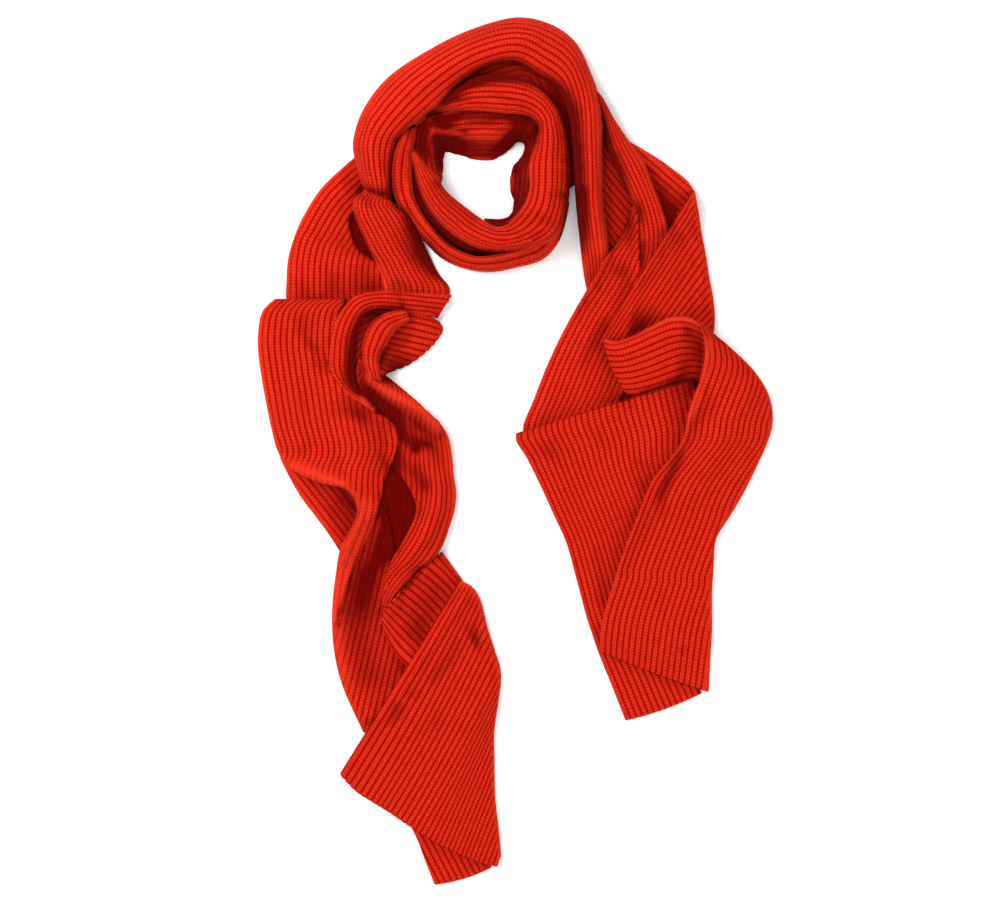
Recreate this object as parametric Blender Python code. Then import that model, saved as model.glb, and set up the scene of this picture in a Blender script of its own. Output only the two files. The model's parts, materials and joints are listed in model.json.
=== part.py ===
"""Rib-knit scarf laid flat: a neck loop of two turns and two loosely folded tails.

Every visible stretch of the cloth is one closed wall, lofted through sections across it, and laid in
order on the stretches below it. The hidden turns under them are three flat-bottomed layered solids.
Lengths in the tables are millimetres, with the scarf on the plane z = 0 and its loop towards +Y.
"""

import bpy
import bmesh
import numpy as np

MM = 0.001
CLOTH = 3.0              # thickness of the knit
SEAM = 0.3               # air between two pieces that touch
ROW_STEP = 38.0          # spacing of the facets along a stretch
COLUMN_STEP = 41.0       # spacing of the facets across a stretch
CELL = 1.5               # grid on which heights are noted while laying
REACH = 330.0, 540.0     # half size of that grid, x and y
SLOPE_PASSES = 8         # how softly a stretch rides over an edge below it
FOLD = 4.5               # radius of an edge where the cloth folds back
SELVEDGE = 1.2           # small curl at a free edge
SOLID_EDGE = 4.0         # height of one hidden layer, seen at the rim of a core
EDGE_ROUND = 1.3         # how far a layer's lower and upper corners lie inside its edge
EDGE_STEP = 1.6          # how far the second layer lies inside the first
STEP_GROWTH = 1.3        # power with which that grows towards the top layer
CORE_STEP = 54.0         # spacing of the facets round a core

# ---------------------------------------------------------------- hidden layers

# Rim of each core, in order round it: x, y
RING_CORE_OUTER = (
    (-166, 305), (-178, 340), (-180, 370), (-165, 410), (-135, 446), (-95, 470), (-50, 492), (0, 506),
    (38, 500), (64, 480), (82, 448), (92, 410), (94, 370), (92, 330), (70, 318), (54, 300), (50, 270),
    (36, 246), (5, 233), (-30, 226), (-66, 232), (-92, 248), (-112, 270), (-134, 294),
)
RING_CORE_HOLE = (
    (-100, 335), (-98, 365), (-88, 378), (-60, 380), (-30, 378), (-4, 385), (18, 380), (22, 355),
    (12, 335), (10, 312), (8, 290), (-8, 268), (-30, 264), (-48, 276), (-66, 290), (-88, 312),
)
LEFT_CORE_RIM = (
    (-196, 318), (-225, 300), (-252, 268), (-264, 225), (-264, 190), (-290, 168), (-297, 130), (-292, 80),
    (-282, 30), (-268, -15), (-245, -55), (-215, -100), (-205, -140), (-208, -190), (-206, -240),
    (-192, -290), (-172, -320), (-150, -300), (-110, -300), (-60, -330), (-36, -300), (-32, -262),
    (-50, -200), (-66, -170), (-92, -128), (-86, -80), (-84, -40), (-90, 0), (-118, 40), (-160, 66),
    (-172, 95), (-150, 112), (-118, 124), (-104, 148), (-100, 176), (-98, 200), (-124, 236),
    (-146, 266), (-178, 292),
)
RIGHT_CORE_RIM = (
    (106, 330), (110, 392), (134, 358), (176, 334), (204, 310), (212, 270), (222, 210), (226, 150),
    (270, 96), (294, 60), (294, 20), (270, -30), (240, -80), (224, -110), (222, -180), (218, -236),
    (160, -240), (112, -215), (92, -180), (74, -125), (50, -70), (24, -15), (18, 22), (44, 85),
    (66, 135), (92, 180), (90, 240), (94, 296),
)
# name, rim, hole, layers
CORES = (
    ("loop_core", RING_CORE_OUTER, RING_CORE_HOLE, 5),
    ("left_core", LEFT_CORE_RIM, (), 2),
    ("right_core", RIGHT_CORE_RIM, (), 2),
)

# ---------------------------------------------------------------- sections of the visible stretches
# Columns of a section, from its edge a to its edge b:
#   ax, ay, az   edge a, where az is how high its underside is kept
#   bx, by, bz   edge b, likewise
#   bow          how far the middle stands off the straight line, to the left of a to b
#   crown        how far the middle stands above the straight line

# Strip of the right tail that leaves the loop behind the front one, and the darker panels beside it.
TAIL_OUTER = (
    (136, 360, 6, 138, 370, 6, 0, 1),
    (148, 343, 6, 165, 354, 6, 0, 2),
    (158, 322, 6, 188, 338, 6, 0, 3),
    (166, 298, 6, 208, 321, 6, 0, 3),
    (174, 272, 6, 216, 302, 6, 0, 3),
    (180, 250, 6, 212, 276, 6, 0, 2),
)
TAIL_INNER = (
    (96, 372, 8, 106, 384, 8, 0, 1),
    (95, 345, 6, 118, 350, 6, 0, 0),
    (96, 312, 6, 132, 322, 6, 0, 0),
    (100, 280, 6, 144, 300, 6, 0, 0),
    (106, 245, 6, 147, 275, 6, 0, 0),
    (116, 225, 6, 147, 240, 6, 0, 0),
)
TAIL_MIDDLE = (
    (98, 430, 16, 106, 418, 12, 0, 1),
    (103, 402, 14, 120, 394, 10, 0, 2),
    (108, 368, 12, 138, 368, 10, 0, 4),
    (121, 334, 10, 155, 344, 10, 0, 6),
    (135, 308, 9, 167, 314, 9, 0, 6),
    (143, 284, 9, 177, 288, 9, 0, 5),
    (146, 255, 8, 184, 264, 8, 0, 4),
    (146, 228, 8, 180, 240, 8, 0, 3),
    (144, 204, 8, 160, 212, 8, 0, 1),
)
# Inner wall of the loop, round the neck opening.
INNER_WALL = (
    (-108, 322, 20, -89, 321, 1, 0, 0),
    (-118, 345, 22, -88, 338, 0, 0, -2),
    (-113, 388, 24, -85, 358, 0, 0, -3),
    (-86, 404, 24, -70, 356, 0, 0, -3),
    (-54, 410, 24, -52, 351, 0, 0, -2),
    (-24, 410, 24, -28, 350, 0, 0, -2),
    (4, 408, 24, -10, 360, 0, 0, -2),
    (26, 402, 24, 3, 371, 0, 0, -2),
    (38, 384, 24, 12, 365, 0, 0, -2),
    (34, 358, 24, 8, 353, 0, 0, -2),
    (30, 335, 24, -3, 338, 0, 0, -2),
    (28, 314, 24, -6, 317, 0, 0, -2),
    (22, 290, 22, -1, 297, 0, 0, -2),
    (4, 268, 20, -7, 280, 0, 0, -1),
    (-18, 256, 18, -20, 277, 0, 0, -1),
    (-42, 262, 16, -37, 277, 0, 0, 0),
)
# Low turn that shows outside the inner band, at the left and along the bottom of the loop.
LOW_TURN = (
    (-136, 380, 8, -116, 388, 14, 0, 1),
    (-147, 352, 4, -121, 358, 12, 0, 3),
    (-149, 320, 1, -123, 326, 10, 0, 5),
    (-142, 296, 0, -119, 300, 9, 0, 6),
    (-126, 272, 0, -106, 276, 8, 0, 6),
    (-109, 250, 0, -89, 257, 7, 0, 6),
    (-88, 230, 0, -68, 240, 7, 0, 6),
    (-60, 218, 0, -44, 232, 7, 0, 6),
    (-30, 214, 0, -16, 236, 6, 0, 6),
    (5, 220, 0, 4, 243, 5, 0, 6),
    (33, 229, 0, 23, 251, 5, 0, 6),
    (52, 250, 0, 35, 263, 5, 0, 5),
    (61, 276, 0, 44, 281, 5, 0, 4),
    (65, 298, 0, 48, 300, 5, 0, 3),
)
# Inner band of the loop: the upper turn, right round the opening.
INNER_BAND = (
    (-126, 396, 8, -118, 386, 10, 0, 1),
    (-106, 414, 9, -99, 400, 16, 0, 4),
    (-84, 425, 10, -80, 405, 20, 0, 8),
    (-54, 445, 10, -50, 406, 22, 0, 13),
    (-20, 451, 10, -18, 403, 22, 0, 15),
    (18, 442, 8, 10, 400, 22, 0, 15),
    (44, 420, 6, 26, 390, 22, 0, 16),
    (59, 391, 4, 26, 370, 22, 0, 17),
    (66, 345, 2, 17, 343, 22, 0, 18),
    (65, 312, 1, 16, 313, 22, 0, 18),
    (61, 282, 1, 10, 294, 22, 0, 18),
    (51, 256, 3, -2, 279, 20, 0, 17),
    (26, 244, 4, -13, 269, 18, 0, 16),
    (-10, 237, 5, -25, 268, 15, 0, 15),
    (-45, 240, 6, -40, 277, 12, 0, 14),
    (-80, 260, 7, -63, 294, 10, 0, 13),
    (-102, 284, 8, -83, 311, 10, 0, 13),
    (-115, 308, 10, -94, 328, 12, 0, 10),
    (-121, 330, 12, -107, 342, 12, 0, 6),
    (-126, 356, 12, -120, 360, 12, 0, 2),
)
# Outer band of the loop, which runs over the top and down into the front strip of the right tail.
OUTER_BAND = (
    (-174, 290, 6, -146, 290, 8, 0, 3),
    (-184, 318, 2, -149, 314, 12, 0, 10),
    (-192, 345, 0, -147, 345, 16, 0, 14),
    (-195, 372, 0, -139, 374, 20, 0, 16),
    (-183, 409, 0, -116, 394, 24, 0, 18),
    (-153, 448, 0, -88, 417, 26, 0, 18),
    (-104, 481, 0, -60, 443, 26, 0, 17),
    (-55, 505, 0, -31, 459, 26, 0, 16),
    (0, 520, 0, 1, 463, 26, 0, 15),
    (42, 512, 0, 30, 446, 24, 0, 15),
    (72, 490, 0, 52, 430, 20, 0, 15),
    (90, 454, 2, 62, 408, 14, 0, 15),
    (100, 424, 10, 66, 386, 8, 0, 14),
    (104, 390, 16, 68, 360, 6, 0, 12),
    (105, 345, 14, 70, 325, 4, 0, 11),
    (105, 300, 12, 73, 288, 3, 0, 10),
    (110, 262, 10, 77, 250, 2, 0, 8),
    (112, 236, 8, 82, 210, 2, 0, 6),
    (104, 212, 6, 88, 182, 2, 0, 2),
)
# Right tail: the cloth folds back on itself at each turn.
RIGHT_RETURN = (
    (141, 294, 8, 145, 290, 8, 0, 0),
    (126, 255, 8, 147, 262, 8, 0, 1),
    (108, 231, 8, 148, 236, 8, 0, 2),
    (96, 209, 6, 147, 208, 6, 0, 2),
    (84, 189, 1, 144, 184, 6, 0, 2),
    (66, 158, 0, 138, 158, 6, 0, 2),
    (50, 127, 0, 132, 128, 6, 0, 2),
    (36, 96, 0, 130, 98, 6, 0, 1),
    (22, 60, 0, 128, 68, 6, 0, 1),
    (10, 30, 0, 112, 44, 6, 0, 0),
    (12, 12, 0, 96, 26, 6, 0, 0),
)
RIGHT_BACK = (
    (214, 313, 8, 104, 137, 6, 0, 0),
    (219, 288, 1, 112, 122, 6, 0, 1),
    (223, 262, 0, 128, 116, 6, 0, 2),
    (228, 236, 0, 148, 120, 6, 0, 3),
    (232, 210, 0, 168, 126, 6, 0, 3),
    (237, 184, 0, 190, 130, 6, 0, 2),
    (239, 160, 0, 210, 130, 6, 0, 1),
    (237, 138, 0, 226, 128, 6, 0, 0),
)
RIGHT_CUFF = (
    (104, 135, 10, 134, 67, 8, -5, 3),
    (120, 131, 14, 142, 66, 10, 0, 6),
    (141, 138, 16, 158, 69, 10, 0, 8),
    (162, 149, 18, 177, 74, 10, 0, 8),
    (183, 159, 20, 196, 80, 10, 0, 5),
    (204, 160, 22, 214, 84, 10, 0, 0),
    (222, 152, 24, 228, 84, 10, 0, -3),
    (232, 142, 24, 236, 86, 10, 0, -3),
)
RIGHT_UNDER_END = (
    (1, 20, 2, 212, 86, 12, 0, 0),
    (2, 10, 1, 216, 62, 10, 0, 2),
    (14, -9, 0, 214, 30, 8, 0, 3),
    (30, -41, 0, 200, -5, 6, 0, 3),
    (46, -76, 0, 186, -45, 6, 0, 3),
    (62, -112, 0, 174, -88, 6, 0, 2),
    (74, -155, 0, 168, -135, 6, 0, 2),
    (87, -203, 0, 170, -185, 6, 0, 1),
    (101, -245, 0, 190, -228, 4, 0, 1),
    (116, -282, 0, 208, -262, 2, 0, 1),
    (132, -323, 0, 222, -291, 1, -3, 0),
)
RIGHT_FRONT_END = (
    (216, 157, 26, 236, 139, 20, 0, 1),
    (225, 137, 24, 258, 122, 10, 0, 3),
    (227, 112, 22, 286, 95, 2, 0, 6),
    (221, 84, 18, 304, 66, 1, 0, 7),
    (209, 48, 14, 309, 36, 1, 0, 7),
    (201, 13, 12, 303, 11, 1, 0, 7),
    (185, -11, 10, 291, -16, 1, 0, 7),
    (165, -36, 9, 275, -49, 1, 0, 6),
    (152, -66, 8, 258, -78, 1, 0, 5),
    (141, -94, 8, 241, -106, 1, 0, 4),
    (129, -125, 7, 238, -137, 1, 0, 4),
    (117, -161, 6, 236, -175, 1, 0, 3),
    (106, -196, 5, 236, -214, 1, 0, 3),
    (102, -222, 4, 234, -250, 1, 0, 2),
    (102, -240, 2, 232, -289, 1, -2, 1),
)
# Left tail, from the loop down.
LEFT_SHOULDER = (
    (-190, 354, 1, -164, 330, 6, 0, 3),
    (-206, 341, 0, -180, 308, 4, 0, 3),
    (-233, 315, 0, -198, 282, 3, 0, 3),
    (-252, 286, 0, -197, 260, 3, 0, 4),
    (-265, 258, 0, -188, 240, 3, 0, 5),
    (-273, 230, 0, -166, 222, 5, 0, 6),
    (-275, 204, 0, -150, 202, 6, 0, 4),
    (-275, 180, 0, -140, 180, 4, 0, 1),
    (-270, 165, 0, -150, 165, 3, 0, 0),
)
LEFT_LOBE = (
    (-180, 313, 10, -147, 296, 20, 0, 2),
    (-194, 299, 10, -139, 289, 20, 0, 5),
    (-193, 281, 10, -129, 283, 18, 0, 8),
    (-184, 260, 9, -117, 262, 10, 0, 10),
    (-172, 234, 8, -104, 236, 2, 0, 10),
    (-163, 214, 7, -92, 212, 1, 0, 8),
    (-158, 198, 6, -79, 195, 1, 0, 5),
    (-156, 178, 6, -80, 178, 1, 0, 2),
)
LEFT_PANEL_UNDER = (
    (-283, -8, 0, -258, -10, 4, 0, 0),
    (-271, -33, 0, -225, -22, 4, 0, 0),
    (-257, -57, 0, -200, -38, 4, 0, 0),
    (-241, -78, 0, -186, -60, 4, 0, 0),
    (-226, -98, 0, -184, -84, 3, 0, 0),
    (-211, -121, 0, -186, -106, 2, 0, 0),
)
LEFT_INNER_TURN = (
    (-189, -66, 8, -160, -62, 8, 0, 2),
    (-194, -86, 5, -152, -84, 5, 0, 2),
    (-210, -118, 2, -147, -112, 4, 0, 1),
    (-216, -150, 0, -142, -145, 3, 0, 0),
    (-220, -186, 0, -140, -182, 3, 0, 0),
    (-220, -220, 0, -136, -220, 3, 0, 0),
    (-216, -252, 0, -116, -248, 3, 0, 1),
    (-208, -282, 0, -118, -275, 3, 0, 2),
    (-197, -308, 0, -132, -300, 3, 0, 2),
    (-183, -338, 0, -152, -325, 3, 0, 1),
)
LEFT_VALLEY = (
    (-187, 112, 12, -92, 34, 10, 3, 4),
    (-189, 84, 6, -81, 16, 6, 2, 0),
    (-176, 52, 3, -76, -8, 4, 0, -2),
    (-160, 20, 2, -74, -32, 4, 0, -2),
    (-150, -14, 2, -71, -52, 4, 0, 0),
    (-128, -42, 2, -73, -72, 4, 0, 4),
    (-118, -72, 3, -79, -92, 4, 0, 7),
    (-130, -100, 4, -87, -114, 4, 0, 8),
    (-145, -126, 4, -100, -133, 5, 0, 8),
    (-154, -152, 4, -120, -150, 6, 0, 7),
    (-159, -178, 4, -138, -167, 7, 0, 5),
    (-159, -196, 4, -147, -184, 7, 0, 3),
)
LEFT_CURL = (
    (-160, 165, 10, -94, 156, 6, 6, 4),
    (-150, 158, 8, -88, 145, 2, 2, 5),
    (-152, 142, 5, -97, 130, 1, 0, 5),
    (-158, 128, 4, -110, 117, 1, 0, 4),
    (-165, 116, 4, -128, 104, 1, 0, 3),
    (-172, 107, 4, -145, 97, 1, 0, 2),
    (-172, 98, 4, -160, 90, 1, 0, 1),
)
LEFT_HOLLOW = (
    (-88, -122, 3, -66, -152, 3, 0, 0),
    (-100, -134, 4, -62, -176, 4, 2, 1),
    (-116, -147, 6, -68, -194, 4, 3, 2),
    (-132, -163, 7, -82, -213, 4, 3, 3),
    (-147, -181, 7, -96, -232, 4, 3, 3),
    (-158, -198, 5, -109, -249, 4, -2, 3),
    (-157, -213, 3, -124, -262, 3, -6, 2),
)
LEFT_ROLL = (
    (-176, 88, 14, -160, 82, 14, 0, 2),
    (-184, 112, 14, -163, 108, 12, 0, 5),
    (-183, 134, 12, -152, 130, 12, 0, 6),
    (-172, 156, 10, -143, 144, 10, 0, 5),
    (-152, 166, 8, -136, 149, 8, 0, 3),
    (-132, 168, 6, -126, 156, 6, 0, 1),
)
LEFT_UNDER_END = (
    (-150, -400, 0, -50, -400, 1, 0, 0),
    (-132, -435, 0, -42, -440, 1, 0, 0),
    (-119, -463, 0, -34, -466, 1, 0, 0),
    (-108, -490, 0, -31, -486, 1, 0, 0),
    (-96, -520, 0, -30, -500, 1, -3, 0),
)
LEFT_FRONT_END = (
    (-66, -156, 10, -210, -388, 2, 0, 0),
    (-52, -163, 6, -191, -408, 1, 3, 2),
    (-42, -180, 2, -171, -421, 1, 5, 3),
    (-34, -212, 1, -153, -432, 1, 4, 3),
    (-26, -237, 1, -137, -443, 1, 3, 3),
    (-18, -266, 1, -120, -454, 1, 2, 3),
    (-21, -300, 1, -103, -465, 1, 1, 3),
    (-26, -335, 1, -87, -474, 1, 0, 2),
    (-26, -375, 1, -70, -482, 1, 0, 2),
    (-25, -415, 1, -54, -489, 1, 0, 1),
    (-21, -452, 1, -38, -495, 1, 0, 1),
    (-18, -485, 1, -22, -498, 1, 0, 0),
)
LEFT_PANEL = (
    (-289, 181, 6, -204, 182, 10, 0, 0),
    (-304, 166, 2, -209, 170, 12, 0, 3),
    (-309, 142, 0, -219, 146, 12, 0, 1),
    (-309, 118, 0, -223, 118, 12, 0, -1),
    (-305, 88, 0, -221, 92, 12, 0, -1),
    (-300, 60, 0, -196, 64, 12, 0, 1),
    (-293, 26, 0, -145, 30, 6, 2, 8),
    (-285, -2, 1, -144, 2, 6, 0, 8),
    (-270, -21, 4, -153, -22, 7, 0, 8),
    (-238, -37, 7, -158, -38, 8, 0, 7),
    (-204, -46, 9, -162, -56, 8, 0, 5),
    (-189, -72, 8, -167, -74, 8, 0, 4),
    (-197, -98, 8, -175, -96, 8, 0, 4),
    (-209, -122, 8, -186, -121, 8, 0, 4),
    (-215, -150, 8, -199, -150, 8, 0, 3),
    (-218, -178, 7, -208, -178, 6, 0, 2),
    (-219, -206, 5, -214, -206, 4, 0, 1),
)
LEFT_PANEL_TOP = (
    (-77, 186, 2, -94, 159, 2, 0, 2),
    (-105, 188, 6, -106, 162, 4, 0, 3),
    (-135, 190, 7, -135, 166, 6, 0, 4),
    (-165, 190, 8, -163, 170, 8, 0, 4),
    (-190, 185, 10, -178, 165, 10, 0, 4),
    (-206, 171, 12, -186, 152, 10, 0, 4),
    (-217.5, 147, 13, -191, 136, 9, 0, 4),
    (-222, 118, 13, -193, 113, 8, 0, 4),
    (-220, 93, 13, -193, 88, 6, 0, 3),
    (-199, 67, 12, -187, 70, 4, 0, 2),
    (-183, 56, 11, -177, 62, 4, 0, 1),
    (-169, 47, 8, -166, 51, 4, 0, 0),
)

# Soft creases, each on one stretch: x, y of both ends, half width, height (a trough is negative)
CREASES = {
    "left_inner_turn": (
        (-190, -84, -206, -130, 11, 3),
        (-206, -130, -211, -200, 10, 4),
        (-211, -200, -203, -270, 12, 4),
    ),
    "left_panel": ((-238, 150, -236, 80, 10, -2.5), (-200, 20, -176, -70, 22, 3)),
    "left_valley": ((-172, 84, -100, 42, 9, 5), (-104, -20, -96, -100, 14, 3)),
    "left_front_end": ((-150, -340, -60, -250, 26, 3), (-40, -200, -32, -320, 12, 2)),
    "right_front_end": ((238, -108, 180, -240, 14, 4), (270, 60, 196, -60, 24, 3)),
    "right_under_end": ((24, -14, 170, -18, 10, -1.5), (70, 20, 150, -60, 26, 3)),
    "right_back": ((210, 250, 130, 140, 20, 2.5),),
    "right_return": ((120, 200, 60, 90, 18, 2.5),),
    "inner_wall": ((-96, 378, 10, 382, 6, 4), (-90, 366, -20, 364, 6, -2)),
    "outer_band": ((-120, 432, 20, 490, 16, 3), (-172, 400, -160, 320, 12, 3)),
    "inner_band": ((40, 380, 38, 290, 12, 3), (-60, 262, 10, 250, 10, 3)),
    "left_shoulder": ((-256, 250, -240, 190, 14, 3), (-222, 300, -214, 230, 12, -2)),
    "left_lobe": ((-176, 284, -120, 200, 14, 3),),
}

# Order of laying, lowest first: name, sections, roll radius at a, at b
STRETCHES = (
    ("tail_outer", TAIL_OUTER, SELVEDGE, FOLD),
    ("tail_inner", TAIL_INNER, SELVEDGE, SELVEDGE),
    ("tail_middle", TAIL_MIDDLE, FOLD, FOLD),
    ("inner_wall", INNER_WALL, SELVEDGE, SELVEDGE),
    ("low_turn", LOW_TURN, 6.0, FOLD),
    ("inner_band", INNER_BAND, 9.0, FOLD),
    ("left_shoulder", LEFT_SHOULDER, FOLD, SELVEDGE),
    ("outer_band", OUTER_BAND, 12.0, 6.0),
    ("right_return", RIGHT_RETURN, SELVEDGE, SELVEDGE),
    ("right_back", RIGHT_BACK, FOLD, SELVEDGE),
    ("right_cuff", RIGHT_CUFF, FOLD, SELVEDGE),
    ("right_under_end", RIGHT_UNDER_END, SELVEDGE, SELVEDGE),
    ("right_front_end", RIGHT_FRONT_END, SELVEDGE, FOLD),
    ("left_lobe", LEFT_LOBE, FOLD, FOLD),
    ("left_panel_under", LEFT_PANEL_UNDER, FOLD, SELVEDGE),
    ("left_inner_turn", LEFT_INNER_TURN, FOLD, SELVEDGE),
    ("left_valley", LEFT_VALLEY, SELVEDGE, FOLD),
    ("left_curl", LEFT_CURL, SELVEDGE, SELVEDGE),
    ("left_roll", LEFT_ROLL, FOLD, FOLD),
    ("left_hollow", LEFT_HOLLOW, SELVEDGE, SELVEDGE),
    ("left_under_end", LEFT_UNDER_END, SELVEDGE, SELVEDGE),
    ("left_front_end", LEFT_FRONT_END, FOLD, SELVEDGE),
    ("left_panel", LEFT_PANEL, FOLD, SELVEDGE),
    ("left_panel_top", LEFT_PANEL_TOP, SELVEDGE, SELVEDGE),
)

FABRIC = (0.70, 0.035, 0.012, 1.0)
REST = 0.9               # an underside lower than this lies flat on the plane
CLEAR = 0.45             # air aimed at while laying
LAY_ROUNDS = 6
SAMPLES = 30             # points along each side of a facet when its heights are noted


def curve_through(rows, step, closed=False):
    """Smooth curve through table rows, with at most step between the points it returns."""
    table = np.array(rows, float)
    count = len(table)
    ends = range(count if closed else count - 1)
    found = []
    for i in ends:
        before, here, there, after = (
            table[[(i + k) % count for k in (-1, 0, 1, 2)]]
            if closed
            else table[np.clip([i - 1, i, i + 1, i + 2], 0, count - 1)]
        )
        gap = np.hypot(*(there - here)[:2])
        if len(here) > 2:
            gap = max(gap, np.hypot(*(there - here)[3:5]))
        parts = max(1, int(np.ceil(gap / step)))
        for k in range(parts):
            f = k / parts
            found.append(
                here
                + 0.5 * f * (there - before)
                + f * f * (before - 2.5 * here + 2 * there - 0.5 * after)
                + f * f * f * 0.5 * (3 * here - before - 3 * there + after)
            )
    if not closed:
        found.append(table[-1])
    return np.array(found)


def crease_height(x, y, creases):
    """Sum of the soft ridges and troughs at x, y."""
    total = np.zeros_like(x)
    for x0, y0, x1, y1, half_width, height in creases:
        along = np.array((x1 - x0, y1 - y0))
        share = ((x - x0) * along[0] + (y - y0) * along[1]) / (along @ along)
        share = np.clip(share, 0, 1)
        away = np.hypot(x - x0 - share * along[0], y - y0 - share * along[1])
        total += height * 0.5 * (1 + np.cos(np.pi * np.minimum(away / half_width, 1)))
    return total


def middle_surface(rows, roll_a, roll_b, creases):
    """Grid of points midway through the cloth, sections by columns."""
    rows = curve_through(rows, ROW_STEP)
    a, b = rows[:, 0:3], rows[:, 3:6]
    width = np.hypot(*(b - a)[:, :2].T)[:, None]
    across = (b - a) / width * (1, 1, 0)
    a = a + (across * CLOTH / 2 if roll_a > CLOTH / 2 else (0, 0, CLOTH / 2 - roll_a))
    b = b - (across * CLOTH / 2 if roll_b > CLOTH / 2 else (0, 0, roll_b - CLOTH / 2))
    width = np.hypot(*(b - a)[:, :2].T)
    roll_a = np.minimum(roll_a, 0.35 * width)[:, None]
    roll_b = np.minimum(roll_b, 0.35 * width)[:, None]
    inner = max(2, int(np.ceil(width.max() / COLUMN_STEP)))
    width = width[:, None]
    between = np.linspace(0, 1, inner + 1)
    edge_a = (0,) if roll_a.max() < CLOTH / 2 else (0, 0.3)
    edge_b = (0,) if roll_b.max() < CLOTH / 2 else (0.3, 0)
    from_a = np.concatenate(
        [roll_a * edge_a, roll_a + between * (width - roll_a - roll_b), width - roll_b * edge_b], axis=1)
    share = from_a / width
    turn_a = np.sqrt(1 - (1 - np.clip(from_a / roll_a, 0, 1)) ** 2)
    turn_b = np.sqrt(1 - (1 - np.clip((width - from_a) / roll_b, 0, 1)) ** 2)
    bulge = 4 * share * (1 - share)
    left = np.stack([-(b - a)[:, 1], (b - a)[:, 0]], axis=1) / width
    x = a[:, :1] + share * (b - a)[:, :1] + bulge * rows[:, 6:7] * left[:, :1]
    y = a[:, 1:2] + share * (b - a)[:, 1:2] + bulge * rows[:, 6:7] * left[:, 1:2]
    z = (1 - share) * (a[:, 2:] + roll_a * turn_a) + share * (b[:, 2:] + roll_b * turn_b)
    z = z + bulge * rows[:, 7:8] + crease_height(x, y, creases) * np.minimum(turn_a, turn_b)
    return np.stack([x, y, z], axis=2)


def wall(grid):
    """Points of the closed wall, the upper skin first, and its triangles."""
    normal = np.cross(np.gradient(grid, axis=0), np.gradient(grid, axis=1))
    normal /= np.maximum(np.linalg.norm(normal, axis=2, keepdims=True), 1e-9)
    normal *= np.where(normal[:, :, 2:] < 0, -1, 1)
    upper = grid + normal * CLOTH / 2
    lower = grid - normal * CLOTH / 2
    lower[:, :, 2] = np.where(lower[:, :, 2] < REST, 0, lower[:, :, 2])
    points = np.concatenate([upper.reshape(-1, 3), lower.reshape(-1, 3)])
    rows, columns = grid.shape[:2]
    skin = rows * columns
    index = np.arange(skin).reshape(rows, columns)

    def quads(p, q, r, s):
        p, q, r, s = (np.ravel(k) for k in (p, q, r, s))
        return np.concatenate([np.stack([p, q, r], 1), np.stack([p, r, s], 1)])

    top = quads(index[:-1, :-1], index[1:, :-1], index[1:, 1:], index[:-1, 1:])
    faces = [
        top,
        top[:, ::-1] + skin,
        quads(index[1:, 0], index[:-1, 0], index[:-1, 0] + skin, index[1:, 0] + skin),
        quads(index[:-1, -1], index[1:, -1], index[1:, -1] + skin, index[:-1, -1] + skin),
        quads(index[0, :-1], index[0, 1:], index[0, 1:] + skin, index[0, :-1] + skin),
        quads(index[-1, 1:], index[-1, :-1], index[-1, :-1] + skin, index[-1, 1:] + skin),
    ]
    faces = np.concatenate(faces)
    corners = points[faces]
    volume = np.einsum("ij,ij->i", corners[:, 0], np.cross(corners[:, 1], corners[:, 2])).sum()
    return points, faces if volume > 0 else faces[:, ::-1]


def facet_samples(points, faces):
    """Points spread over each facet: facets by samples by x, y, z."""
    i, j = np.meshgrid(np.arange(SAMPLES + 1), np.arange(SAMPLES + 1))
    keep = i + j <= SAMPLES
    u, v = i[keep] / SAMPLES, j[keep] / SAMPLES
    a, b, c = (points[faces[:, k]][:, None, :] for k in range(3))
    return a + u[None, :, None] * (b - a) + v[None, :, None] * (c - a)


def cells_of(x, y):
    return (
        np.floor((x + REACH[0]) / CELL).astype(int),
        np.floor((y + REACH[1]) / CELL).astype(int),
    )


def softened(lift):
    """The lift spread over its neighbours, nowhere lower than it was."""
    for _ in range(SLOPE_PASSES):
        padded = np.pad(lift, 1, mode="edge")
        mean = (padded[:-2, 1:-1] + padded[2:, 1:-1] + padded[1:-1, :-2] + padded[1:-1, 2:]) / 4
        lift = np.maximum(lift, 0.5 * lift + 0.5 * mean)
    return lift


def lay(grid, heights):
    """Raises a stretch until it clears what lies below it, then notes its own height."""
    count = grid.shape[0] * grid.shape[1]
    for _ in range(LAY_ROUNDS):
        points, faces = wall(grid)
        spots = facet_samples(points, faces)
        column, row = cells_of(spots[..., 0], spots[..., 1])
        short = (heights[column, row] + CLEAR - spots[..., 2]).max(axis=1)
        short = np.where(heights[column, row].max(axis=1) > 0, short, 0)
        if short.max() <= CLEAR - SEAM:
            break
        lift = np.zeros(count)
        for k in range(3):
            np.maximum.at(lift, faces[:, k] % count, short)
        grid[..., 2] += softened(lift.reshape(grid.shape[:2]))
    np.maximum.at(heights, (column, row), spots[..., 2])
    return points, faces


def inset(rim, amount):
    """The closed rim moved inwards by an amount."""
    along = np.roll(rim, -1, axis=0) - np.roll(rim, 1, axis=0)
    inward = np.stack([-along[:, 1], along[:, 0]], axis=1)
    inward /= np.linalg.norm(inward, axis=1, keepdims=True)
    doubled_area = (rim[:, 0] * np.roll(rim[:, 1], -1) - rim[:, 1] * np.roll(rim[:, 0], -1)).sum()
    return rim + inward * amount * np.sign(doubled_area)


def inside(rim, x, y):
    found = np.zeros(x.shape, bool)
    for (x0, y0), (x1, y1) in zip(rim, np.roll(rim, -1, axis=0)):
        if y0 != y1:
            found ^= ((y0 > y) != (y1 > y)) & (x < x0 + (y - y0) * (x1 - x0) / (y1 - y0))
    return found


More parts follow.
